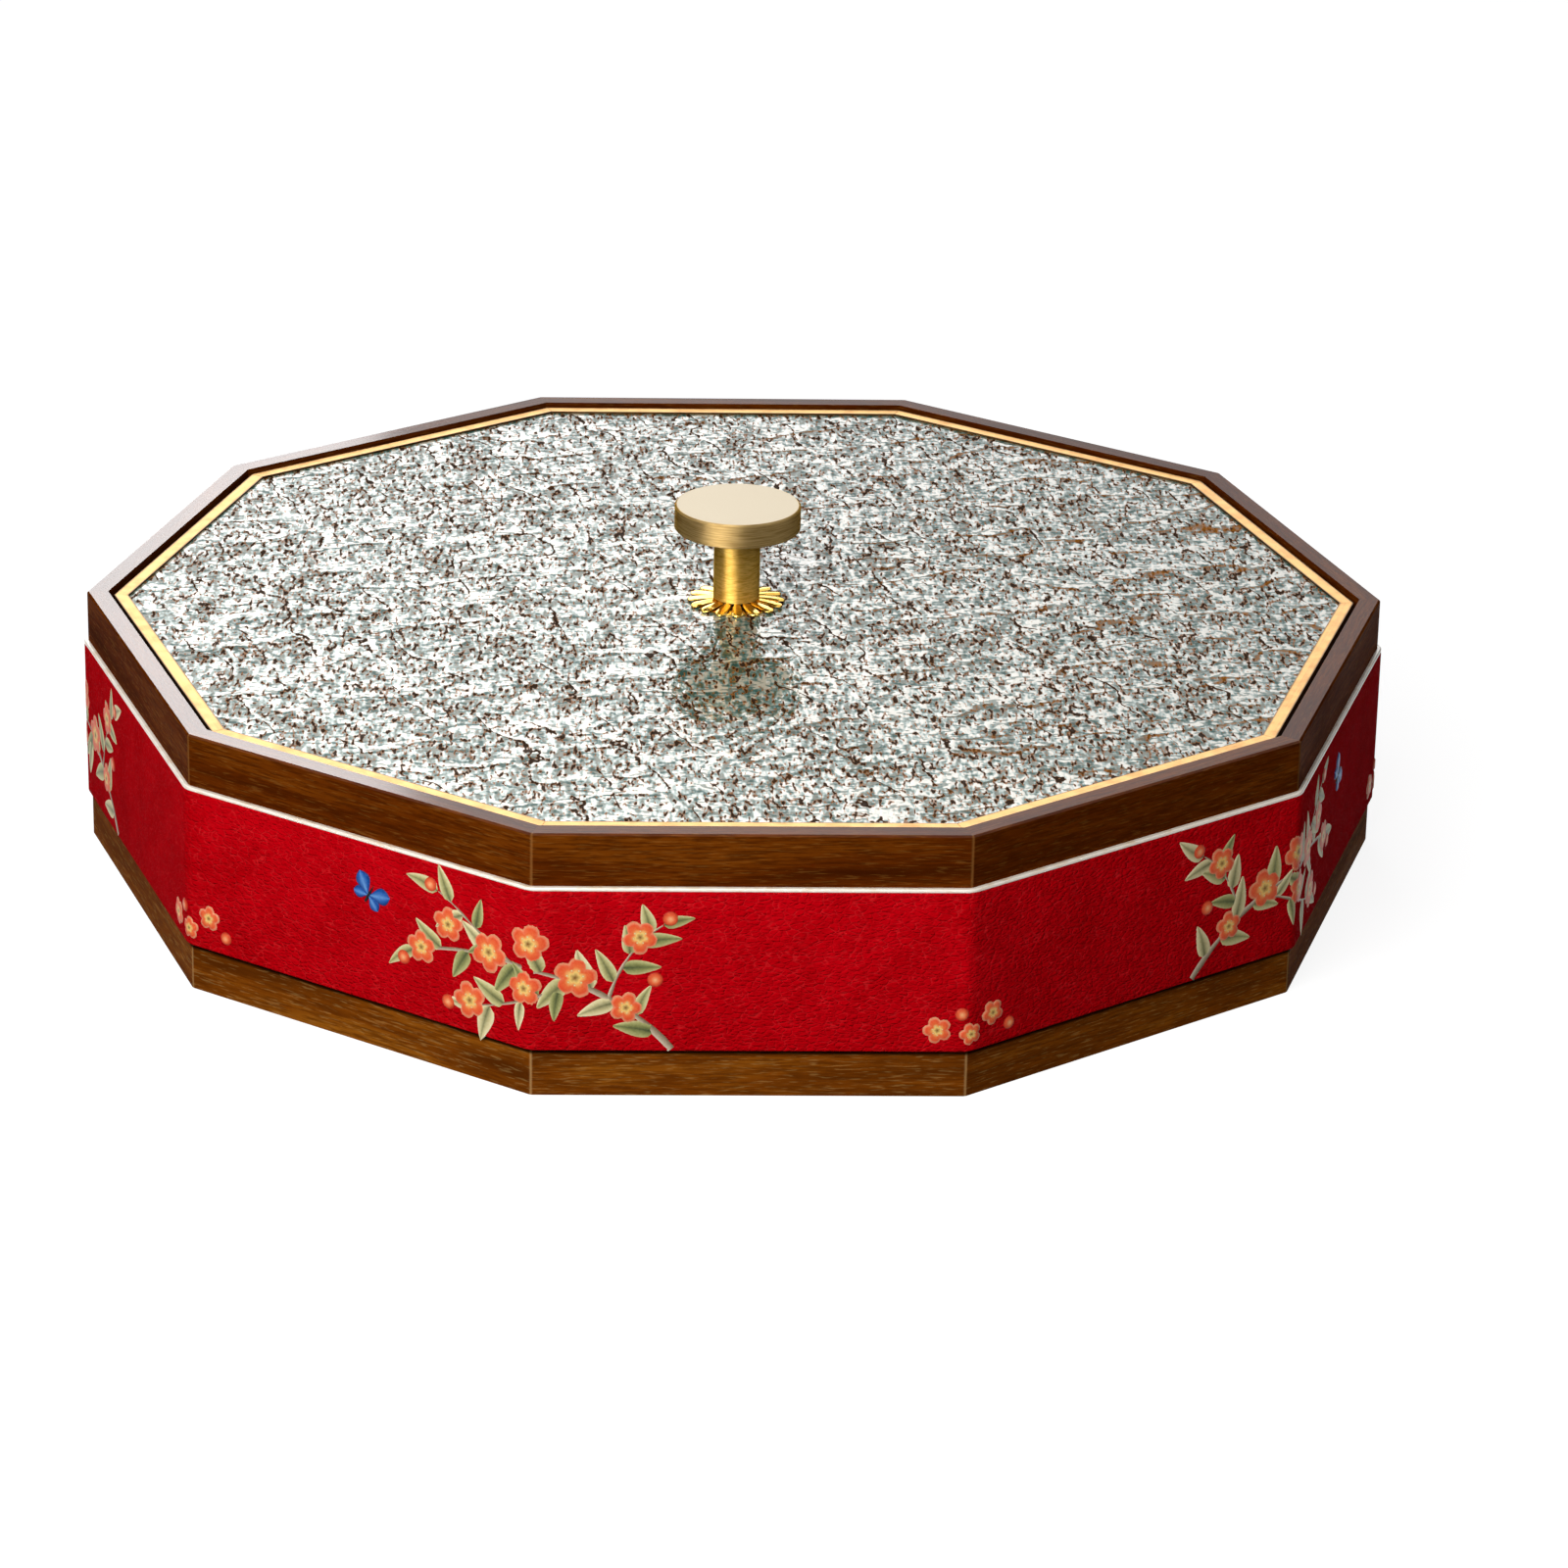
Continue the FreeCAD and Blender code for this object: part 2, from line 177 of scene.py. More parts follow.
def linked(name: str, data: bpy.types.ID) -> Piece:
    """Puts a mesh, a lamp or a camera in the scene as an object of its own.

    Args:
        name: The object's name.
        data: The mesh, the lamp or the camera.

    Returns:
        The object.
    """
    made = bpy.data.objects.new(name, data)
    bpy.context.scene.collection.objects.link(made)
    return made


@dataclass
class Surface:
    """A mesh in the making: its points, its faces, and what its material reads at each point.

    The caps are the faces with any number of corners that close its ends.
    """

    points: Array
    faces: Array
    flat: Array | None = None
    paint: Array | None = None
    caps: list[list[int]] = field(default_factory=list)

    @staticmethod
    def joined(parts: list["Surface"]) -> "Surface":
        """Puts several surfaces into one, with the corner numbers of each moved past the last.

        Args:
            parts: The surfaces, which all have flat and paint values, or all lack them.

        Returns:
            The surfaces as one.
        """
        starts = np.cumsum([0] + [len(part.points) for part in parts[:-1]])
        placed = list(zip(parts, starts))
        return Surface(
            points=np.concatenate([part.points for part in parts]),
            faces=np.concatenate([part.faces + start for part, start in placed]),
            flat=None if parts[0].flat is None else np.concatenate([part.flat for part in parts]),
            paint=None if parts[0].paint is None else np.concatenate([part.paint for part in parts]),
            caps=[(np.array(cap) + start).tolist() for part, start in placed for cap in part.caps],
        )

    def piece(self, name: str, body: Body) -> Piece:
        """Makes the surface an object that rides on a body, shaded smooth but for its creases.

        Args:
            name: The piece's name.
            body: The body that it rides on.

        Returns:
            The object, with its place in its mesh.
        """
        mesh = bpy.data.meshes.new(name)
        mesh.from_pydata(self.points.tolist(), [], self.faces.tolist() + self.caps)
        corner = np.empty(len(mesh.loops), dtype=np.int32)
        mesh.loops.foreach_get("vertex_index", corner)
        if self.flat is not None:
            layer = mesh.uv_layers.new(name="UVMap")
            layer.data.foreach_set("uv", self.flat[corner].astype(np.float32).ravel())
        if self.paint is not None:
            rgba = np.concatenate([self.paint, np.ones((len(self.paint), 1))], axis=1)
            attribute = mesh.color_attributes.new(name=PAINT, type="FLOAT_COLOR", domain="POINT")
            attribute.data.foreach_set("color", rgba.astype(np.float32).ravel())
        mesh.polygons.foreach_set("use_smooth", np.ones(len(mesh.polygons), dtype=bool))
        mesh.set_sharp_from_angle(angle=CREASE)
        mesh.update()
        made = linked(name, mesh)
        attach(made, body.value)
        LOG.info("%s: %d points, %d faces, on %s", name, len(mesh.vertices), len(mesh.polygons), body.value)
        return made


@dataclass(frozen=True)
class Decagon:
    """A ten-sided loop with rounded corners, run anticlockwise from the middle of the back."""

    apothem: float
    corner: float

    @property
    def straight(self) -> float:
        """Length of the straight part of one side."""
        return 2 * (self.apothem - self.corner) * math.tan(HALF_SIDE)

    @property
    def stretch(self) -> float:
        """Length of one side with half a corner at each end."""
        return self.straight + self.corner * 2 * HALF_SIDE

    @property
    def length(self) -> float:
        """Length of the whole loop."""
        return SIDES * self.stretch

    def at(self, run: Array) -> tuple[Array, Array]:
        """Finds points of the loop and the ways that it faces there.

        A run is the number of whole stretches and a rest, which is the way along one side. The part of
        the rest that leaves the straight part turns the facing by its length over the corner's radius.
        A point is the corner radius along that facing, from a point of the side's own inner line.

        Args:
            run: Lengths along the loop.

        Returns:
            The points and the outward directions, each with X and Y in its last axis.
        """
        side = np.round(run / self.stretch)
        rest = run - side * self.stretch
        level = np.clip(rest, -self.straight / 2, self.straight / 2)
        square = BACK + side * 2 * HALF_SIDE
        facing = square + (rest - level) / self.corner
        outward, across = polar(1, facing), polar(1, square)
        along = spread(-np.sin(square), np.cos(square))
        inner = (self.apothem - self.corner) * across + level[..., None] * along
        return inner + self.corner * outward, outward

    def run_of_corner(self, number: int) -> float:
        """Length from the back to the corner before side number, counted as side_direction counts."""
        return (number + SIDES / 2 - 0.5) * self.stretch % self.length

    def runs(self, along: int, around: int, gap: float) -> Array:
        """Lengths at which a mesh of the loop has its points: more in the corners than in the sides.

        Args:
            along: Steps of a straight part.
            around: Steps of a corner.
            gap: Length left open at the middle of the back.

        Returns:
            The lengths, from half the gap to the whole loop less half the gap.
        """
        flat = np.linspace(-self.straight / 2, self.straight / 2, along, endpoint=False)
        bend = np.linspace(self.straight / 2, self.stretch - self.straight / 2, around, endpoint=False)
        one = np.concatenate([flat, bend])
        whole = (np.arange(SIDES + 1)[:, None] * self.stretch + one).ravel()
        kept = whole[(whole > gap / 2 + MM) & (whole < self.length - gap / 2 - MM)]
        return np.concatenate([[gap / 2], kept, [self.length - gap / 2]])


def swept(path: Decagon, run: Array, outline: Array) -> Surface:
    """Carries a closed outline along a loop and closes both ends.

    A point is the loop's point, moved outward by the outline's first value, at the height of its second.

    Args:
        path: The loop.
        run: Lengths along the loop, one for each copy of the outline.
        outline: Pairs of outward distance and height, anticlockwise seen against the run.

    Returns:
        The strip, whose flat values are the run and the way round the outline.
    """
    place, outward = path.at(run)
    level = place[:, None, :] + outward[:, None, :] * outline[None, :, 0, None]
    height = np.broadcast_to(outline[None, :, 1, None], level.shape[:2] + (1,))
    points = np.concatenate([level, height], axis=-1)
    rows, columns = points.shape[:2]
    return Surface(
        points=points.reshape(-1, 3),
        faces=quads(rows, columns, loop_columns=True)[:, ::-1],
        flat=spread(run[:, None], outline[None, :, 1]).reshape(-1, 2),
        caps=end_caps(rows, columns),
    )


def rounded_strip(inner: float, outer: float, low: float, high: float, ease: float, steps: int) -> Array:
    """Outline of a strip whose two outer edges are rounded by quarter circles.

    Args:
        inner: Outward distance of its back.
        outer: Outward distance of its face.
        low: Height of its lower edge.
        high: Height of its upper edge.
        ease: Radius of the rounded edges.
        steps: Steps of each quarter circle.

    Returns:
        Pairs of outward distance and height, from the back's lower edge, by the face, to its upper one.
    """
    turn = np.linspace(0, math.pi / 2, steps + 1)
    lower = spread(outer - ease + ease * np.sin(turn), low + ease - ease * np.cos(turn))
    upper = spread(outer - ease + ease * np.cos(turn), high - ease + ease * np.sin(turn))
    return np.concatenate([[[inner, low]], lower, upper, [[inner, high]]])


class Recipe:
    """A material, or the world's own, in the making: each of its calls adds one kind of node."""

    def __init__(self, name: str, world: bool = False) -> None:
        """Starts an empty material.

        Args:
            name: Its name.
            world: Whether it is the world's own.
        """
        self.output = "OutputWorld" if world else "OutputMaterial"
        self.material = (bpy.data.worlds if world else bpy.data.materials).new(name)
        self.material.use_nodes = True
        self.tree = self.material.node_tree
        self.tree.nodes.clear()

    def add(self, kind: str, feeds: dict[Any, Any] | None = None, **options: Any) -> bpy.types.Node:
        """Adds a node.

        Args:
            kind: The node's type, without its leading ShaderNode.
            feeds: What goes into its inputs, by name or number: a socket is linked, a value is set.
            options: The node's own settings.

        Returns:
            The node.
        """
        node = self.tree.nodes.new("ShaderNode" + kind)
        for name, value in options.items():
            setattr(node, name, value)
        for name, value in (feeds or {}).items():
            if isinstance(value, bpy.types.NodeSocket):
                self.tree.links.new(value, node.inputs[name])
            else:
                node.inputs[name].default_value = value
        return node

    def place(self, turn: float = 0.0, stretch: tuple[float, float, float] = (1, 1, 1),
              centre: tuple[float, float, float] = (0, 0, 0)) -> Socket:
        """Object coordinates moved to a centre, turned about Z and then drawn out.

        Args:
            turn: Direction of the pattern's own X axis.
            stretch: How much longer the pattern is along each of its axes.
            centre: The pattern's middle.

        Returns:
            The coordinates.
        """
        source = self.add("TexCoord").outputs["Object"]
        feeds = {"Vector": source, "Location": centre, "Rotation": (0, 0, turn), "Scale": stretch}
        return self.add("Mapping", feeds, vector_type="TEXTURE").outputs["Vector"]

    def flat(self, stretch: tuple[float, float, float] = (1, 1, 1)) -> Socket:
        """The piece's own flat map, drawn out by stretch along each axis."""
        feeds = {"Vector": self.add("UVMap", uv_map="UVMap").outputs["UV"], "Scale": stretch}
        return self.add("Mapping", feeds, vector_type="TEXTURE").outputs["Vector"]

    def part(self, where: Socket, axis: str) -> Socket:
        """One of the coordinates, which axis names as X, Y or Z."""
        return self.add("SeparateXYZ", {0: where}).outputs[axis]

    def noise(self, where: Socket, grain: float, detail: float = 3.0, rough: float = 0.55,
              warp: float = 0.0, output: str = "Fac") -> Socket:
        """Soft random noise.

        Args:
            where: Coordinates.
            grain: Size of its largest blots.
            detail: Octaves of finer noise.
            rough: Share of each finer octave.
            warp: How much it is drawn about.
            output: Its value, Fac, or its colour, Color.

        Returns:
            The noise.
        """
        feeds = {"Vector": where, "Scale": 1 / grain, "Detail": detail, "Roughness": rough}
        return self.add("TexNoise", feeds | {"Distortion": warp}).outputs[output]

    def cells(self, where: Socket, size: float, feature: str = "F1") -> Socket:
        """Distance to the middles of random cells, or to their borders.

        Args:
            where: Coordinates.
            size: Size of a cell.
            feature: F1 for the middles, DISTANCE_TO_EDGE for the borders.

        Returns:
            The distance, in cells.
        """
        feeds = {"Vector": where, "Scale": 1 / size, "Randomness": 1.0}
        return self.add("TexVoronoi", feeds, feature=feature).outputs["Distance"]

    def sum(self, kind: str, first: Any, second: Any = 0.0, third: Any = 0.0) -> Socket:
        """A sum or other simple function of up to three numbers, named as the Math node names it."""
        return self.add("Math", {0: first, 1: second, 2: third}, operation=kind).outputs[0]

    def times(self, first: Any, second: Any) -> Socket:
        """The product of two numbers."""
        return self.sum("MULTIPLY", first, second)

    def scaled(self, value: Any, gain: Any, rise: Any) -> Socket:
        """A number times a gain, plus a rise."""
        return self.sum("MULTIPLY_ADD", value, gain, rise)

    def between(self, value: Socket, low: float, high: float, start: float = 0.0, end: float = 1.0) -> Socket:
        """Eases a value from start, where it is low, to end, where it is high."""
        feeds = {"Value": value, "From Min": low, "From Max": high, "To Min": start, "To Max": end}
        return self.add("MapRange", feeds, interpolation_type="SMOOTHSTEP").outputs["Result"]

    def ramp(self, value: Socket, stops: list[tuple[float, Colour]]) -> Socket:
        """Colours a value.

        Args:
            value: The value, 0 to 1.
            stops: Places on the ramp with their colours, in order.

        Returns:
            The colour.
        """
        node = self.add("ValToRGB", {"Fac": value})
        elements = node.color_ramp.elements
        while len(elements) < len(stops):
            elements.new(1.0)
        for element, (position, colour) in zip(elements, stops):
            element.position = position
            element.color = colour
        return node.outputs["Color"]

    def mixed(self, share: Any, first: Any, second: Any, kind: str = "MIX") -> Socket:
        """Lays the second colour over the first by a share, in the named way."""
        feeds = {0: share, 6: first, 7: second}
        return self.add("Mix", feeds, data_type="RGBA", blend_type=kind).outputs[2]

    def moved(self, where: Socket, push: Socket, reach: float) -> Socket:
        """Draws coordinates about by a colour noise.

        Args:
            where: The coordinates.
            push: The colour noise.
            reach: Twice the way that they can go in each direction.

        Returns:
            The coordinates.
        """
        centred = self.add("VectorMath", {0: push, 1: (0.5, 0.5, 0.5)}, operation="SUBTRACT").outputs[0]
        feeds = {0: centred, 1: (reach, reach, reach), 2: where}
        return self.add("VectorMath", feeds, operation="MULTIPLY_ADD").outputs[0]

    def relief(self, height: Socket, depth: float, under: Socket | None = None) -> Socket:
        """Turns a height of 0 to 1, which stands for a depth, into a shading normal over another's."""
        feeds = {"Height": height, "Distance": depth} | ({} if under is None else {"Normal": under})
        return self.add("Bump", feeds).outputs["Normal"]

    def seen(self) -> Socket:
        """Tells what is seen from what only lights.

        Returns:
            1 for what the camera sees straight, in a gloss or through glass, and 0 for the rest.
        """
        path = self.add("LightPath").outputs
        seen = self.sum("MAXIMUM", path["Is Camera Ray"], path["Is Glossy Ray"])
        return self.sum("MAXIMUM", seen, path["Is Transmission Ray"])

    def closed(self, shader: bpy.types.Node) -> bpy.types.Material:
        """Closes the recipe with a shader and gives back the material."""
        self.add(self.output, {"Surface": shader.outputs[0]})
        return self.material

    def done(self, feeds: dict[str, Any]) -> bpy.types.Material:
        """Closes the recipe with the shader of a solid's surface, whose inputs are in feeds."""
        return self.closed(self.add("BsdfPrincipled", feeds))


@dataclass(frozen=True)
class Walnut:
    """Oiled walnut with its grain along the board and fine pale pores.

    A wall's board is given by its length and by the ledge, which is the leather's lower edge: its ends are
    lightened by a painted highlight, the wood under the ledge is brightened by painted bounce light, and a
    painted shadow line lies where the leather meets it. Wax shines on faces that look up.
    """

    dark: Colour = tint(62, 22, 1)
    middle: Colour = tint(92, 38, 2)
    light: Colour = tint(114, 56, 6)
    pore: Colour = tint(196, 140, 66)
    # painted highlight colour of the board's ends, where the eased corners catch light
    painted_arris_highlight: Colour = tint(168, 116, 60)
    # painted bounce light: multiplies the wood under the ledge, as light from the floor would brighten it
    foot: Colour = (1.9, 2.6, 4.0, 1.0)
    roughness: float = 0.5
    sheen: float = 0.002
    wax: float = 0.0
    board: float = 0.0
    ledge: float = 0.0
    arris_width: float = 0.5 * MM
    figure: float = 8 * MM
    streak: float = 0.5 * MM
    vessel: float = 0.36 * MM

    def make(self, name: str, turn: float, shift: float) -> bpy.types.Material:
        """Makes the wood of one board.

        Args:
            name: The material's name.
            turn: Direction of the grain.
            shift: A length that moves the figure, so that no two boards are alike.

        Returns:
            The material.
        """
        mix = Recipe(name)
        centre = (shift, 2 * shift, shift / 3)
        figure = mix.noise(mix.place(turn, (9, 1, 1), centre), self.figure, 4, 0.6, 0.4)
        line = mix.noise(mix.place(turn, (14, 1, 1), centre), self.streak, 3, 0.65)
        vessel = mix.noise(mix.place(turn, (10, 1, 1), centre), self.vessel, 2, 0.5)
        tone = mix.ramp(figure, [(0.32, self.dark), (0.5, self.middle), (0.68, self.light)])
        lined = mix.mixed(mix.between(line, 0.36, 0.6, 0.7, 0.0), tone, self.dark)
        open_pore = mix.between(vessel, 0.54, 0.7)
        wood = mix.mixed(mix.times(open_pore, 0.11), lined, self.pore)
        if self.board:
            # Painted highlight: the board's ends are lightened where the eased corners catch light.
            reach = mix.sum("ABSOLUTE", mix.part(mix.place(turn), "X"))
            painted_highlight_share = mix.between(reach, self.board / 2 - self.arris_width, self.board / 2, 0.0, 0.4)
            wood = mix.mixed(painted_highlight_share, wood, self.painted_arris_highlight)
            # Painted bounce light: the wood under the ledge is brightened, as light bounced from the floor
            # would.
            over = mix.sum("SUBTRACT", mix.part(mix.place(), "Z"), self.ledge)
            wood = mix.mixed(mix.between(over, -1 * MM, 0.0, 1.0, 0.0), wood, self.foot, "MULTIPLY")
            # Painted shadow: a dark line at the leather's lower edge, where the leather overhangs the wood.
            painted_shadow_line = mix.between(mix.sum("ABSOLUTE", over), 0.7 * MM, 1.5 * MM, 0.9, 0.0)
            wood = mix.mixed(painted_shadow_line, wood, BLACK, "MULTIPLY")
        dull = mix.between(figure, 0.3, 0.7, self.roughness + 0.08, self.roughness - 0.04)
        grooves = mix.relief(line, 0.02 * MM)
        pores = mix.relief(mix.sum("SUBTRACT", 1.0, open_pore), 0.03 * MM, grooves)
        feeds = {"Base Color": wood, "Roughness": dull, "Normal": pores, "Specular IOR Level": self.sheen}
        if self.wax:
            up = mix.part(mix.add("NewGeometry").outputs["Normal"], "Z")
            shine = mix.between(up, 0.5, 0.9, 0.0, self.wax)
            feeds |= {"Coat Weight": shine, "Coat Roughness": 0.1, "Coat IOR": 2.2}
        return mix.done(feeds)


@dataclass(frozen=True)
class Leather:
    """Dyed leather with a fine grain drawn out along the band."""

    dye: Colour = tint(196, 2, 16)
    deep: Colour = tint(176, 0, 10)
    # painted highlight colour, which stands for glints of the grain on the creases' ridges
    tip: Colour = tint(222, 48, 50)
    roughness: float = 0.58
    sheen: float = 0.002
    grain: float = 0.62 * MM
    glint_patch: float = 3 * MM
    dapple: float = 12 * MM

    def make(self, name: str) -> bpy.types.Material:
        """Makes the leather's material: pebbles between creases, with painted highlights on the ridges in
        places.

        Args:
            name: Its name.

        Returns:
            The material.
        """
        mix = Recipe(name)
        where = mix.flat((1.9, 1, 1))
        bent = mix.moved(where, mix.noise(where, 2 * MM, 2, output="Color"), 0.8 * MM)
        pebble = mix.cells(bent, self.grain)
        crease = mix.cells(bent, 1.7 * self.grain, "DISTANCE_TO_EDGE")
        tone = mix.ramp(mix.noise(mix.flat(), self.dapple, 4), [(0.3, self.deep), (0.62, self.dye)])
        # Painted highlight: paler crease ridges in random patches, which stand for glints of the grain.
        painted_highlight_share = mix.between(mix.noise(mix.flat(), self.glint_patch, 3), 0.42, 0.62, 0.06, 0.36)
        ridge_glint = mix.times(mix.between(crease, 0.0, 0.09, 1.0, 0.0), painted_highlight_share)
        hollow = mix.mixed(mix.between(pebble, 0.1, 0.5, 0.5, 0.0), tone, self.deep)
        skin = mix.mixed(ridge_glint, hollow, self.tip)
        dull = mix.between(pebble, 0.1, 0.7, self.roughness - 0.06, self.roughness + 0.12)
        domes = mix.relief(mix.between(pebble, 0.0, 0.8), 0.16 * MM)
        folds = mix.relief(mix.between(crease, 0.0, 0.15, 1.0, 0.0), 0.1 * MM, domes)
        return mix.done({"Base Color": skin, "Roughness": dull, "Normal": folds,
                         "Specular IOR Level": self.sheen})


@dataclass(frozen=True)
class PaleEdging:
    """Cream piping along the upper edge of the leather."""

    cream: Colour = tint(255, 246, 230)
    shade: Colour = tint(236, 214, 184)

    def make(self, name: str) -> bpy.types.Material:
        """Makes the piping's material.

        Args:
            name: Its name.

        Returns:
            The material.
        """
        mix = Recipe(name)
        fibre = mix.noise(mix.flat((6, 1, 1)), 0.6 * MM, 3)
        tone = mix.ramp(fibre, [(0.32, self.shade), (0.52, self.cream)])
        return mix.done({"Base Color": tone, "Roughness": 0.42, "Normal": mix.relief(fibre, 0.04 * MM),
                         "Coat Weight": 1.0, "Coat Roughness": 0.3, "Coat IOR": 2.0})


@dataclass(frozen=True)
class Brass:
    """Brass strip, brushed along its length.

    Where it edges the lid, its inner and outer distance from the lid's middle are given, and both its
    edges there are darkened by painted shade.
    """

    metal: Colour = tint(204, 162, 100)
    shade: Colour = tint(172, 124, 64)
    painted_edge_shade: Colour = tint(44, 26, 8)
    roughness: float = 0.46
    scratch: float = 0.012 * MM
    inner: float = 0.0
    outer: float = 0.0
    painted_edge_shade_width: float = 0.45 * MM

    def make(self, name: str, turn: float) -> bpy.types.Material:
        """Makes the strip's material.

        Args:
            name: The material's name.
            turn: Direction of the brushing.

        Returns:
            The material.
        """
        mix = Recipe(name)
        line = mix.noise(mix.place(turn, (60, 1, 1)), 0.3 * MM, 3)
        blot = mix.noise(mix.place(), 4 * MM, 3)
        tone = mix.ramp(mix.mixed(0.5, line, blot), [(0.36, self.shade), (0.56, self.metal)])
        # Painted shade: both edges of the channel are darkened, as the rolled edges turned from the light.
        if self.outer:
            reach = mix.sum("ABSOLUTE", mix.part(mix.place(turn), "Y"))
            for end, width in ((self.inner, self.painted_edge_shade_width), (self.outer, -self.painted_edge_shade_width)):
                tone = mix.mixed(mix.between(reach, end + width, end, 0.0, 0.85), tone, self.painted_edge_shade)
        dull = mix.between(line, 0.35, 0.65, self.roughness - 0.05, self.roughness + 0.07)
        return mix.done({"Base Color": tone, "Metallic": 1.0, "Roughness": dull,
                         "Normal": mix.relief(line, self.scratch)})


@dataclass(frozen=True)
class TurnedBrass:
    """Brass turned on a lathe: its side is brushed round and its flat ends are pale satin."""

    metal: Colour = tint(194, 164, 108)
    shade: Colour = tint(158, 128, 76)
    face: Colour = tint(178, 168, 148)
    edge_tint: Colour = tint(20, 8, 0)
    side_roughness: float = 0.6
    face_roughness: float = 0.46
    lacquer: float = 0.5
    anisotropy: float = 0.95

    def make(self, name: str, radius: float) -> bpy.types.Material:
        """Makes the turned part's material: its noise is drawn out along the way round.

        Args:
            name: The material's name.
            radius: Radius of the turned side.

        Returns:
            The material.
        """
        mix = Recipe(name)
        parts = mix.add("SeparateXYZ", {0: mix.place()})
        east, north, up = (parts.outputs[axis] for axis in "XYZ")
        reach = mix.add("VectorMath", {0: mix.add("CombineXYZ", {0: east, 1: north}).outputs[0]},
                        operation="LENGTH").outputs["Value"]
        round_way = mix.times(mix.sum("ARCTAN2", north, east), 0.6 * MM)
        where = mix.add("CombineXYZ", {0: round_way, 1: reach, 2: up}).outputs[0]
        line = mix.noise(where, 0.22 * MM, 3)
        side = mix.between(reach, radius - 0.7 * MM, radius - 0.2 * MM)
        brushed = mix.ramp(line, [(0.34, self.shade), (0.6, self.metal)])
        grain = mix.noise(mix.place(), 0.25 * MM, 2)
        satin = mix.mixed(mix.between(grain, 0.3, 0.7, 0.0, 0.12), self.face, self.shade)
        feeds = {
            "Base Color": mix.mixed(side, satin, brushed), "Metallic": 1.0, "Specular Tint": self.edge_tint,
            "Roughness": mix.between(side, 0.0, 1.0, self.face_roughness, self.side_roughness),
            "Anisotropic": mix.times(side, self.anisotropy), "Anisotropic Rotation": 0.25,
            "Tangent": mix.add("Tangent", direction_type="RADIAL", axis="Z").outputs[0],
            "Normal": mix.relief(mix.times(line, side), 0.004 * MM),
            "Coat Weight": mix.between(side, 0.0, 1.0, self.lacquer, 0.0), "Coat Roughness": 0.3,
        }
        return mix.done(feeds)


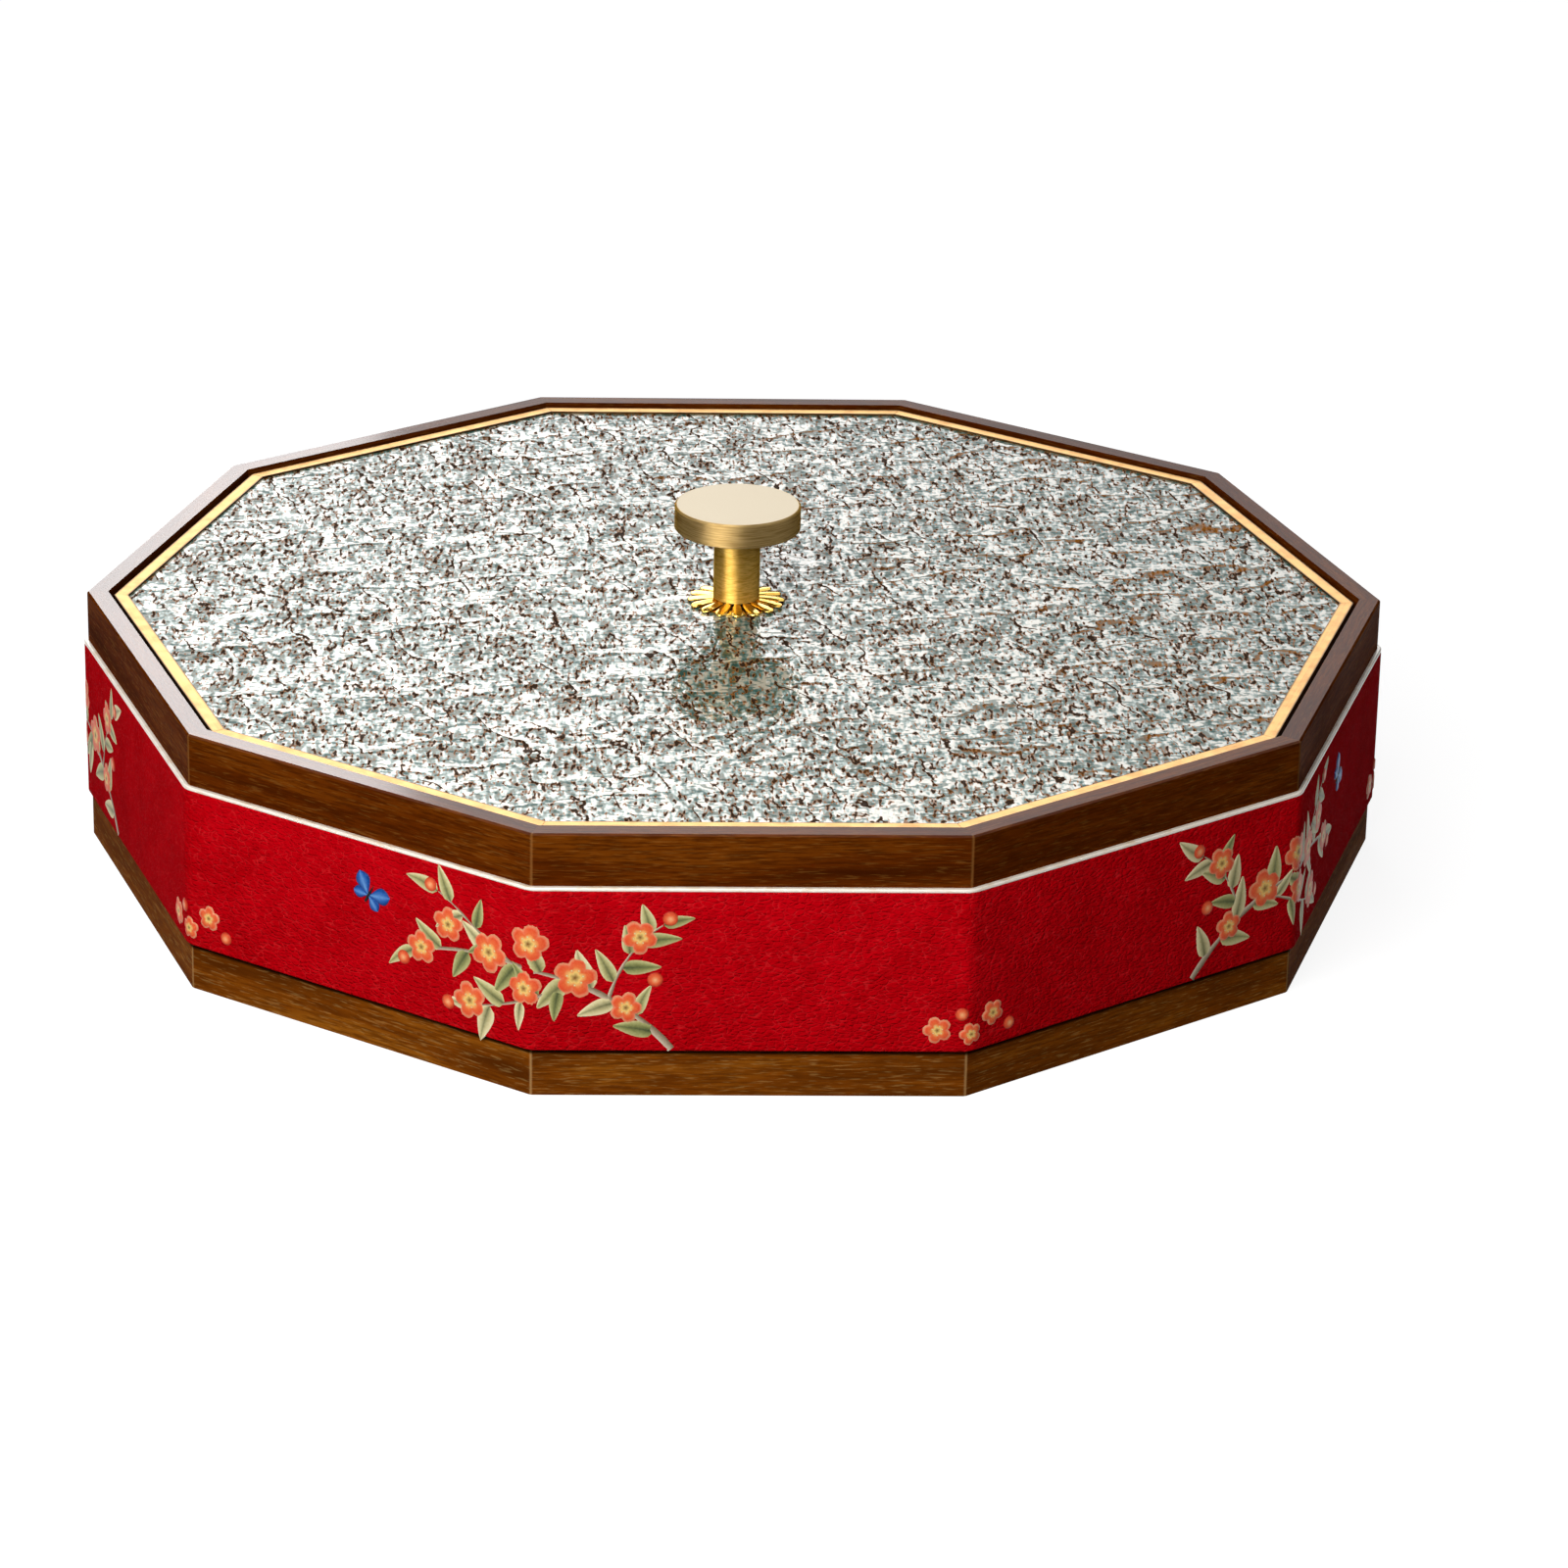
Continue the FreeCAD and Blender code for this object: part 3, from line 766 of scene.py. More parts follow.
@dataclass(frozen=True)
class HammeredGlass:
    """Thick rolled glass: a glossy coat over grey-green and brown specks and white ones, which are painted
    light for what the crinkled face refracts and reflects.

    Towards the right a painted shade, the dim inside of the box as seen through it, darkens the body,
    which is rusty in its long creases there. Each set of folds is given by its direction, its spacing
    and the width of a crease.
    """

    # painted light: the white specks stand for light that the crinkled face refracts and reflects
    painted_light_speck: Colour = tint(214, 205, 182)
    mist: Colour = tint(124, 156, 148)
    olive: Colour = tint(86, 92, 68)
    teal: Colour = tint(6, 80, 76)
    brown: Colour = tint(176, 106, 40)
    rust: Colour = tint(182, 112, 36)
    dark: Colour = tint(14, 18, 16)
    # painted shade tint, the dim inside of the box as seen through the glass towards the right
    inside: Colour = tint(60, 84, 76)
    roughness: float = 0.3
    gloss_roughness: float = 0.1
    gloss_index: float = 2.2
    deep: float = 2.8
    speck: float = 1.1 * MM
    ripple: float = 0.12 * MM
    painted_shade_depth: float = 0.4
    cloud: float = 6 * MM
    bend: float = 12 * MM
    jitter: float = 2.4 * MM
    patch: float = 5 * MM
    level_folds: tuple[float, float, float] = (0.3, 13 * MM, 2.1 * MM)
    slant_folds: tuple[float, float, float] = (math.radians(-70), 11 * MM, 0.9 * MM)

    def specks(self, mix: Recipe, size: float, drawn: tuple[float, float], away: float) -> Socket:
        """Noise for scattered specks.

        Args:
            mix: The recipe.
            size: Their size.
            drawn: How much longer they are along X and along Y.
            away: A length that moves them, so that no two sets fall together.

        Returns:
            The noise, which is highest on the specks.
        """
        return mix.noise(mix.place(0, (*drawn, 1), (away, away / 2, 0)), size, 1, 0.5)

    def folds(self, mix: Recipe, turn: float, spacing: float, width: float) -> tuple[Socket, Socket]:
        """Wavy broken creases, each with a raised band on one side, painted bright as a highlight.

        The way across the creases, in spacings, is pushed about by two noises. A crease stands where it
        passes a whole number and its band just past that, and a third noise breaks them up.

        Args:
            mix: The recipe.
            turn: Direction of the creases.
            spacing: From one crease to the next.
            width: Width of a crease.

        Returns:
            The crease and its band.
        """
        across = mix.part(mix.place(turn), "Y")
        bend = mix.noise(mix.place(turn, (1.6, 1, 1), (turn, 0.1, 0)), self.bend, 1)
        jitter = mix.noise(mix.place(0, (1, 1, 1), (0.3, turn, 0)), self.jitter, 1)
        wander = mix.scaled(jitter, 0.22, mix.times(bend, 1.6))
        past = mix.sum("FRACT", mix.scaled(across, 1 / spacing, wander))
        patch = mix.noise(mix.place(turn, (2.0, 1, 1), (0.2, turn, 0)), self.patch, 1)
        kept = mix.between(patch, 0.44, 0.58)
        share = width / spacing
        rise = mix.between(past, 0.0, 0.5 * share)
        turned = mix.between(past, 0.6 * share, 1.2 * share)
        spent = mix.between(past, 1.8 * share, 3.6 * share)
        crease = mix.times(mix.sum("SUBTRACT", rise, turned), kept)
        band = mix.times(mix.sum("SUBTRACT", turned, spent), kept)
        return crease, band

    def make(self, name: str) -> bpy.types.Material:
        """Makes the glass's material: one height gives its tones, its gloss and its dents.

        Args:
            name: Its name.

        Returns:
            The material.
        """
        mix = Recipe(name)
        cloud = mix.noise(mix.place(0, (1, 1.6, 1)), self.cloud, 1)
        level, level_band = self.folds(mix, *self.level_folds)
        slant, slant_band = self.folds(mix, *self.slant_folds)
        band = mix.sum("MAXIMUM", level_band, slant_band)
        crease = mix.sum("MAXIMUM", level, slant)
        lift = mix.scaled(band, 0.16, mix.scaled(crease, -0.1, mix.scaled(cloud, 0.34, -0.17)))
        fine = mix.sum("ADD", self.specks(mix, self.speck, (1, self.deep), 0.0), lift)
        body = mix.ramp(fine, [(0.36, self.olive), (0.51, self.mist), (0.65, self.painted_light_speck)])
        # Painted shade: the body is darkened and greened towards the right front, as the dim inside seen
        # through the glass.
        way = mix.scaled(mix.part(mix.place(), "Y"), 0.35, mix.part(mix.place(), "X"))
        painted_shade_reach = mix.scaled(mix.noise(mix.place(), 50 * MM, 1), 0.1, way)
        shown = mix.between(painted_shade_reach, -10 * MM, 170 * MM)
        paint = mix.mixed(mix.times(shown, self.painted_shade_depth), body, self.inside)
        dash = self.specks(mix, 0.8 * self.speck, (2.2, 1.4), 0.3)
        dash = mix.scaled(level, 0.22, mix.scaled(shown, 0.03, dash))
        curl = self.specks(mix, 0.8 * self.speck, (1, 3.0), 0.5)
        curl = mix.scaled(slant, 0.2, mix.scaled(lift, -0.5, curl))
        rust = mix.times(mix.times(level, shown), mix.between(fine, 0.4, 0.56, 1.0, 0.1))
        gloss = mix.between(fine, 0.39, 0.65, 0.38, 0.95)
        for share, colour, depth, dull in (
            (mix.between(dash, 0.545, 0.62), self.teal, 0.7, 0.6),
            (mix.between(curl, 0.535, 0.6), self.brown, 0.8, 0.6),
            (mix.between(curl, 0.59, 0.66), self.dark, 0.9, 0.9),
            (rust, self.rust, 0.7, 0.3),
        ):
            paint = mix.mixed(mix.times(share, depth), paint, colour)
            gloss = mix.times(gloss, mix.scaled(share, -dull, 1.0))
        dents = mix.relief(fine, self.ripple)
        feeds = {
            "Base Color": paint, "Roughness": self.roughness, "Specular IOR Level": 0.0,
            "Normal": dents, "Coat Normal": dents, "Coat Weight": gloss,
            "Coat Roughness": self.gloss_roughness, "Coat IOR": self.gloss_index,
        }
        return mix.done(feeds)


@dataclass(frozen=True)
class Enamel:
    """Painted print on the leather: each motif's own colours, broken up as brush strokes are."""

    ink: Colour = tint(58, 40, 26)

    def make(self, name: str) -> bpy.types.Material:
        """Makes the print's material: the flat map's V says how far a point is across its motif.

        Args:
            name: Its name.

        Returns:
            The material.
        """
        mix = Recipe(name)
        paint = mix.add("Attribute", attribute_name=PAINT).outputs["Color"]
        off = mix.sum("ABSOLUTE", mix.part(mix.flat(), "Y"))
        stroke = mix.noise(mix.place(), 0.5 * MM, 3, 0.6, 0.5)
        broken = mix.mixed(mix.between(stroke, 0.35, 0.65, 0.0, 0.3), paint, self.ink, "SOFT_LIGHT")
        edged = mix.mixed(mix.times(mix.between(off, 0.8, 0.98, 0.0, 0.55), stroke), broken, self.ink)
        return mix.done({"Base Color": edged, "Roughness": 0.4, "Specular IOR Level": 0.1,
                         "Normal": mix.relief(stroke, 0.03 * MM)})


@dataclass(frozen=True)
class PlainMetal:
    """Turned steel of the hidden screw and washer."""

    metal: Colour = tint(176, 176, 180)
    shade: Colour = tint(120, 118, 118)

    def make(self, name: str) -> bpy.types.Material:
        """Makes the steel's material.

        Args:
            name: Its name.

        Returns:
            The material.
        """
        mix = Recipe(name)
        line = mix.noise(mix.place(0, (1, 1, 0.08)), 0.5 * MM, 3)
        tone = mix.ramp(line, [(0.35, self.shade), (0.6, self.metal)])
        dull = mix.between(line, 0.3, 0.7, 0.24, 0.36)
        return mix.done({"Base Color": tone, "Metallic": 1.0, "Roughness": dull,
                         "Normal": mix.relief(line, 0.01 * MM)})


@dataclass(frozen=True)
class Rubber:
    """Clouded rubber of the soft washer."""

    face: Colour = tint(46, 44, 42)
    bloom: Colour = tint(72, 70, 66)

    def make(self, name: str) -> bpy.types.Material:
        """Makes the rubber's material.

        Args:
            name: Its name.

        Returns:
            The material.
        """
        mix = Recipe(name)
        cloud = mix.noise(mix.place(), 1.2 * MM, 4)
        tone = mix.ramp(cloud, [(0.35, self.face), (0.65, self.bloom)])
        return mix.done({"Base Color": tone, "Roughness": 0.62, "Normal": mix.relief(cloud, 0.03 * MM)})


def dress(name: str, material: bpy.types.Material) -> None:
    """Gives a node of the frame its material, in place of the plain one that it came with."""
    frame["nodes"][name].material_slots[0].material = material
    LOG.info("%s: dressed with %s", name, material.name)


def clothe(piece: Piece, material: bpy.types.Material, stands_for: str) -> None:
    """Gives a new piece its material and hides the node that it stands for.

    Args:
        piece: The piece.
        material: Its material.
        stands_for: The node whose place it takes.
    """
    piece.data.materials.append(material)
    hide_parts(stands_for)


@dataclass
class WoodenBox:
    """The walls, the bottom and the dividers, which keep the frame's own shapes."""

    wax: float = 0.17
    wall_shift: float = 0.13
    divider_shift: float = 0.07
    divided_sides: int = 5
    divider: Walnut = Walnut(
        dark=tint(52, 28, 14), middle=tint(98, 58, 26), light=tint(134, 86, 40), roughness=0.42
    )
    base: Walnut = Walnut(
        dark=tint(72, 42, 20), middle=tint(120, 76, 38), light=tint(154, 104, 56), roughness=0.46
    )

    def build(self) -> None:
        """Dresses each board with walnut whose grain runs along it."""
        width = -2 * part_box("wall_panel_01")[0].y * math.tan(HALF_SIDE)
        wall = Walnut(board=width, ledge=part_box("leather_band")[0].z, wax=self.wax)
        for number in range(SIDES):
            shift = self.wall_shift * (number + 1)
            material = wall.make(f"walnut_wall_{number + 1:02d}", along_side(number), shift)
            dress(f"wall_panel_{number + 1:02d}", material)
        for number in range(self.divided_sides):
            name, grain = f"walnut_divider_{number + 1:02d}", side_direction(2 * number)
            material = self.divider.make(name, grain, self.divider_shift * (number + 1))
            dress(f"divider_board_{number + 1:02d}", material)
        dress("centre_ring", self.divider.make("walnut_ring", 0.0, 0.31))
        dress("bottom_panel", self.base.make("walnut_base", 0.0, 0.47))


@dataclass
class LeatherBand:
    """The leather round the walls and the pale piping on its upper edge."""

    corner: float = 5 * MM
    skin: float = 1 * MM
    seam: float = 0.2 * MM
    edge_ease: float = 0.4 * MM
    side_steps: int = 12
    corner_steps: int = 8
    ease_steps: int = 4

    @property
    def path(self) -> Decagon:
        """The loop of the leather's outer face."""
        return Decagon(-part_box("leather_band")[0].y, self.corner)

    @property
    def foot(self) -> float:
        """Height of the leather's lower edge."""
        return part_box("leather_band")[0].z

    def strip(self, name: str, stands_for: str) -> Piece:
        """Builds a strip round the box, as high as the node that it stands for.

        Args:
            name: The piece's name.
            stands_for: The node.

        Returns:
            The piece.
        """
        low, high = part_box(stands_for)
        outline = rounded_strip(-self.skin, 0, low.z, high.z, self.edge_ease, self.ease_steps)
        run = self.path.runs(self.side_steps, self.corner_steps, self.seam)
        return swept(self.path, run, outline).piece(name, Body.BOX)

    def build(self) -> None:
        """Builds and dresses the leather and its piping."""
        leather = self.strip("leather_wrap", "leather_band")
        clothe(leather, Leather().make("red_leather_grain"), "leather_band")
        piping = self.strip("edge_piping", "band_edge_strip")
        clothe(piping, PaleEdging().make("cream_piping"), "band_edge_strip")


class Blade(Enum):
    """What a painted blade stands for, by the power that sets where it is widest."""

    LEAF = 0.62
    WING = 1.5


@dataclass
class PrintedSprigs:
    """Flowering sprigs printed on the leather, five times round: each motif is a thin raised patch.

    A sprig is laid out on a flat plan, with its first axis along the band to the right and its second
    axis up, and the plan is then wrapped onto the leather. Its places are in millimetres from the foot
    of the band at the sprig's middle, and the third number of a flower is its radius.
    """

    band: LeatherBand
    seed: int = 11
    repeats: int = 5
    lift: float = 0.04 * MM
    layer: float = 0.0015 * MM
    sunk: float = 0.03 * MM
    bark: Colours = (tint(236, 226, 204), tint(176, 156, 128), tint(84, 62, 46))
    coral: Colours = (
        tint(122, 74, 30), tint(252, 214, 128), tint(242, 118, 66), tint(236, 92, 54), tint(252, 190, 146),
    )
    bud: Colours = (tint(255, 196, 140), tint(240, 116, 70), tint(196, 44, 28))
    pollen: Colours = (tint(255, 240, 190), tint(206, 150, 60))
    blues: Colours = (tint(120, 172, 226), tint(28, 92, 176), tint(12, 30, 84))
    dark: Colour = tint(26, 24, 30)
    greens: tuple[Colours, ...] = (
        (tint(84, 92, 56), tint(206, 200, 138), tint(246, 236, 200)),
        (tint(96, 100, 60), tint(232, 220, 168), tint(250, 240, 208)),
        (tint(62, 76, 50), tint(166, 168, 104), tint(232, 222, 172)),
    )
    stem: tuple[Spot, ...] = ((-29, 0.6), (-17, 15), (3, 24), (29, 15))
    twigs: tuple[tuple[float, int, tuple[Spot, ...]], ...] = (
        (0.3, 6, ((-18, 19), (-22, 25), (-27, 28))),
        (0.42, 6, ((-2, 13), (6, 8), (14, 6.5))),
        (0.66, 5, ((14, 23), (17, 27), (23, 29.5))),
    )
    flowers: tuple[RoundSpot, ...] = (
        (-9, 17, 4.9), (0.5, 23, 4.6), (2, 13.5, 4.2), (9.5, 19, 4.8), (20, 22.5, 4.0), (15, 8, 4.4),
        (27, 15.5, 3.9), (-22, 25, 4.0), (-19, 10, 3.6),
    )
    berries: tuple[Spot, ...] = ((-28.5, 29.5), (25, 30.5), (32, 12.5), (20.5, 5.5), (-25.5, 16))
    fallen_flowers: tuple[RoundSpot, ...] = ((-6.5, 5.0, 3.1), (0.5, 4.0, 2.6), (6, 7.5, 2.9))
    fallen_berries: tuple[Spot, ...] = ((-1.5, 8.5), (10.5, 4.0))
    butterfly: Spot = (41, 24)
    wing: float = 5.6 * MM
    stem_ends: tuple[float, float] = (1.9 * MM, 0.7 * MM)
    twig_ends: tuple[float, float] = (1.0 * MM, 0.45 * MM)
    stem_leaves: int = 11
    stem_leaf: float = 10.5 * MM
    twig_leaf: float = 9.5 * MM
    berry: float = 1.7 * MM
    fallen_berry: float = 1.5 * MM
    petals: int = 5
    stamens: int = 7
    petal_steps: int = 6
    berry_steps: int = 14
    patches: list[Surface] = field(default_factory=list)
    laid: int = 0

    def lay(self, plan: Array, paint: Array, flat: Array, inside: Array) -> None:
        """Adds one motif's grid, wrapped onto the leather.

        A point's height over the leather is the lift of its layer where it is inside the motif, and
        sinks into the leather at the motif's edge, so that the patch has no open rim.

        Args:
            plan: Grid of run and height on the band.
            paint: Colour at each point of the grid.
            flat: The motif's own coordinates, along it and across it.
            inside: True inside the motif and False on its edge.
        """
        place, outward = self.band.path.at(plan[..., 0])
        rise = -self.sunk + (self.lift + self.sunk + self.layer * self.laid) * inside
        points = np.concatenate([place + outward * rise[..., None], plan[..., 1:]], axis=-1)
        self.patches.append(Surface(
            points=points.reshape(-1, 3),
            faces=quads(*points.shape[:2]),
            flat=flat.reshape(-1, 2),
            paint=paint.reshape(-1, 3),
        ))
        self.laid += 1

    @staticmethod
    def shade(share: Array, colours: Colours) -> Array:
        """Runs through colours as share goes from 0 to 1."""
        stops = np.linspace(0, 1, len(colours))
        return spread(*(np.interp(share, stops, channel) for channel in np.array(colours).T[:3]))

    def leaf(self, root: Array, heading: float, length: float, width: float, colours: Colours,
             bend: float, kind: Blade = Blade.LEAF) -> None:
        """Paints a leaf, or a wing, from its root along a heading.

        Its half width goes as the sine of half a turn times the way raised to its kind's power, and its
        middle line bends sideways with the square of the way.

        Args:
            root: Where it starts, on the plan.
            heading: Direction that it points in.
            length: Its length.
            width: Its greatest width.
            colours: Its colours from the middle line to the edge.
            bend: How far its tip is turned aside, as a share of its length.
            kind: Whether it is a leaf, which tapers to its tip, or a wing, which is blunt.
        """
        way, off = grid(np.linspace(0, 1, 9), np.linspace(-1, 1, 7))
        half = width / 2 * np.sin(math.pi * way**kind.value) ** 0.85
        aside = half * off + bend * length * way**2
        turn = np.array([[math.cos(heading), math.sin(heading)], [-math.sin(heading), math.cos(heading)]])
        plan = root + spread(length * way, aside) @ turn
        paint = self.shade(0.75 * np.abs(off) + 0.25 * way, colours)
        self.lay(plan, paint, spread(way, off), (np.abs(off) < 1) & (way > 0) & (way < 1))

    def blossom(self, centre: Array, radius: float, colours: Colours, spin: float = 0.0,
                lobes: int = 0) -> None:
        """Paints a blossom, or a round berry when it has no lobes.

        Its radius at a bearing is the full radius less a notch, which is about a quarter of it times the
        sixth power of the cosine of half the lobes times the bearing: one between each pair of petals.

        Args:
            centre: Its middle, on the plan.
            radius: Its radius.
            colours: Its colours from the middle to the edge.
            spin: Bearing of its first notch.
            lobes: Number of petals.
        """
        around = self.petal_steps * lobes if lobes else self.berry_steps
        share, bearing = grid(np.linspace(0, 1, 5), np.linspace(0, FULL_TURN, around + 1))
        notch = 0.27 * np.cos(lobes / 2 * bearing) ** 6 if lobes else 0.0
        plan = centre + polar(radius * share * (1 - notch), bearing + spin)
        paint = self.shade(share + 0.3 * notch * share, colours)
        self.lay(plan, paint, spread(share, share), share < 1)

    def twig(self, knots: Array, start: float, end: float) -> None:
        """Paints a twig along a cubic curve between four knots, drawn in from its start to its end.

        Args:
            knots: Two ends and, between them, the two points that the curve is pulled to.
            start: Width at its start.
            end: Width at its end.
        """
        way, off = grid(np.linspace(0, 1, 22), np.linspace(-1, 1, 4))
        ahead = self.curve(knots, np.clip(way + 0.01, 0, 1)) - self.curve(knots, np.clip(way - 0.01, 0, 1))
        ahead /= np.linalg.norm(ahead, axis=-1, keepdims=True)
        half = (start + (end - start) * way) / 2 * (1 + 0.25 * np.sin(23 * way))
        plan = self.curve(knots, way) + spread(-ahead[..., 1], ahead[..., 0]) * (half * off)[..., None]
        self.lay(plan, self.shade(0.5 - 0.5 * off, self.bark), spread(way, off * 0.7), np.abs(off) < 1)

    def fly(self, centre: Array, heading: float, span: float) -> None:
        """Paints a butterfly: two wings on each side of a dark body.

        Args:
            centre: The middle of its body, on the plan.
            heading: Direction that its head points in.
            span: Length of a fore wing.
        """
        for side in (-1, 1):
            for turn, share in ((0.95, 1.0), (2.0, 0.72)):
                length, width = span * share, span * 0.72 * share
                self.leaf(centre, heading + side * turn, length, width, self.blues, 0.0, Blade.WING)
        tail = centre - polar(0.4 * span, heading)
        self.leaf(tail, heading, 0.9 * span, 0.14 * span, (self.dark, self.dark), 0.0)

    def spray(self, knots: Array, leaves: int, size: float, chance: np.random.Generator) -> None:
        """Sets leaves along a twig, in turn on one side and the other.

        Args:
            knots: The twig's curve.
            leaves: Number of leaves.
            size: Length of the largest leaf.
            chance: Where the leaves' differences are drawn from.
        """
        for number in range(leaves):
            way = np.array((number + 1) / leaves)
            root = self.curve(knots, way)
            ahead = root - self.curve(knots, way - 0.04)
            side = -1 if number % 2 else 1
            turn = side * chance.uniform(0.5, 1.1) if number < leaves - 1 else chance.uniform(-0.2, 0.2)
            length = size * chance.uniform(0.72, 1.0)
            self.leaf(root, math.atan2(ahead[1], ahead[0]) + turn, length, length * chance.uniform(0.4, 0.52),
                      self.greens[chance.integers(len(self.greens))], side * chance.uniform(0.05, 0.25))

    def sprig(self, middle: float, hand: int, chance: np.random.Generator) -> None:
        """Paints one sprig: it rises from the band's lower edge and leans over, with three side twigs.

        Args:
            middle: Run of its middle.
            hand: 1 to lean to the right and -1 to lean to the left.
            chance: Where its small differences are drawn from.
        """
        def at(right: float, up: float) -> Array:
            """A place on the plan, turned over where the sprig leans to the left."""
            return self.spot(middle, hand * right, up)

        stem = np.array([at(*place) for place in self.stem])
        self.twig(stem, *self.stem_ends)
        twigs = []
        for way, leaves, places in self.twigs:
            fork = self.curve(stem, np.array(way))
            twigs.append((np.array([fork] + [at(*place) for place in places]), leaves))
            self.twig(twigs[-1][0], *self.twig_ends)
        self.spray(stem, self.stem_leaves, self.stem_leaf, chance)
        for twig, leaves in twigs:
            self.spray(twig, leaves, self.twig_leaf, chance)
        for right, up, radius in self.flowers:
            shift = chance.uniform(-0.8, 0.8, 2)
            self.flower(at(right + shift[0], up + shift[1]), radius * MM, chance)
        for place in self.berries:
            self.blossom(at(*place), self.berry, self.bud)
        self.fly(at(*self.butterfly), chance.uniform(0.6, 2.2), self.wing)

    def spot(self, middle: float, right: float, up: float) -> Array:
        """A place on the plan, in millimetres from the foot of the band at a middle."""
        return np.array([middle + right * MM, self.band.foot + up * MM])

    def flower(self, centre: Array, radius: float, chance: np.random.Generator) -> None:
        """Paints a blossom of petals with a ring of stamens.

        Args:
            centre: Its middle, on the plan.
            radius: Its radius.
            chance: Where its spin is drawn from.
        """
        spin = chance.uniform(0, FULL_TURN)
        self.blossom(centre, radius, self.coral, spin, self.petals)
        for number in range(self.stamens):
            stamen = centre + polar(0.34 * radius, FULL_TURN * number / self.stamens + spin)
            self.blossom(stamen, 0.07 * radius, self.pollen)

    def fallen(self, middle: float, chance: np.random.Generator) -> None:
        """Paints a few fallen blossoms and buds near the foot of the band.

        Args:
            middle: Run of their middle.
            chance: Where their differences are drawn from.
        """
        for right, up, radius in self.fallen_flowers:
            self.flower(self.spot(middle, right, up), radius * MM, chance)
        for place in self.fallen_berries:
            self.blossom(self.spot(middle, *place), self.fallen_berry, self.bud)

    def build(self) -> None:
        """Paints a sprig at every second corner and fallen blossoms between them, then dresses them."""
        chance = np.random.default_rng(self.seed)
        path = self.band.path
        for number in range(self.repeats):
            self.laid = 0
            self.sprig(path.run_of_corner(2 * number), 1 if number % 2 else -1, chance)
            self.fallen(path.run_of_corner(2 * number + 1), chance)
        print_piece = Surface.joined(self.patches).piece("printed_sprigs", Body.BOX)
        print_piece.data.materials.append(Enamel().make("painted_print"))

    @staticmethod
    def curve(knots: Array, way: Array) -> Array:
        """Points of a cubic curve: the four knots weighted by the powers of way and of its rest.

        Args:
            knots: The two ends and, between them, the two points that the curve is pulled to.
            way: Shares of the way, 0 to 1.

        Returns:
            The points.
        """
        rest = 1 - way
        weights = [rest**3, 3 * rest**2 * way, 3 * rest * way**2, way**3]
        return sum(weight[..., None] * knot for weight, knot in zip(weights, knots))


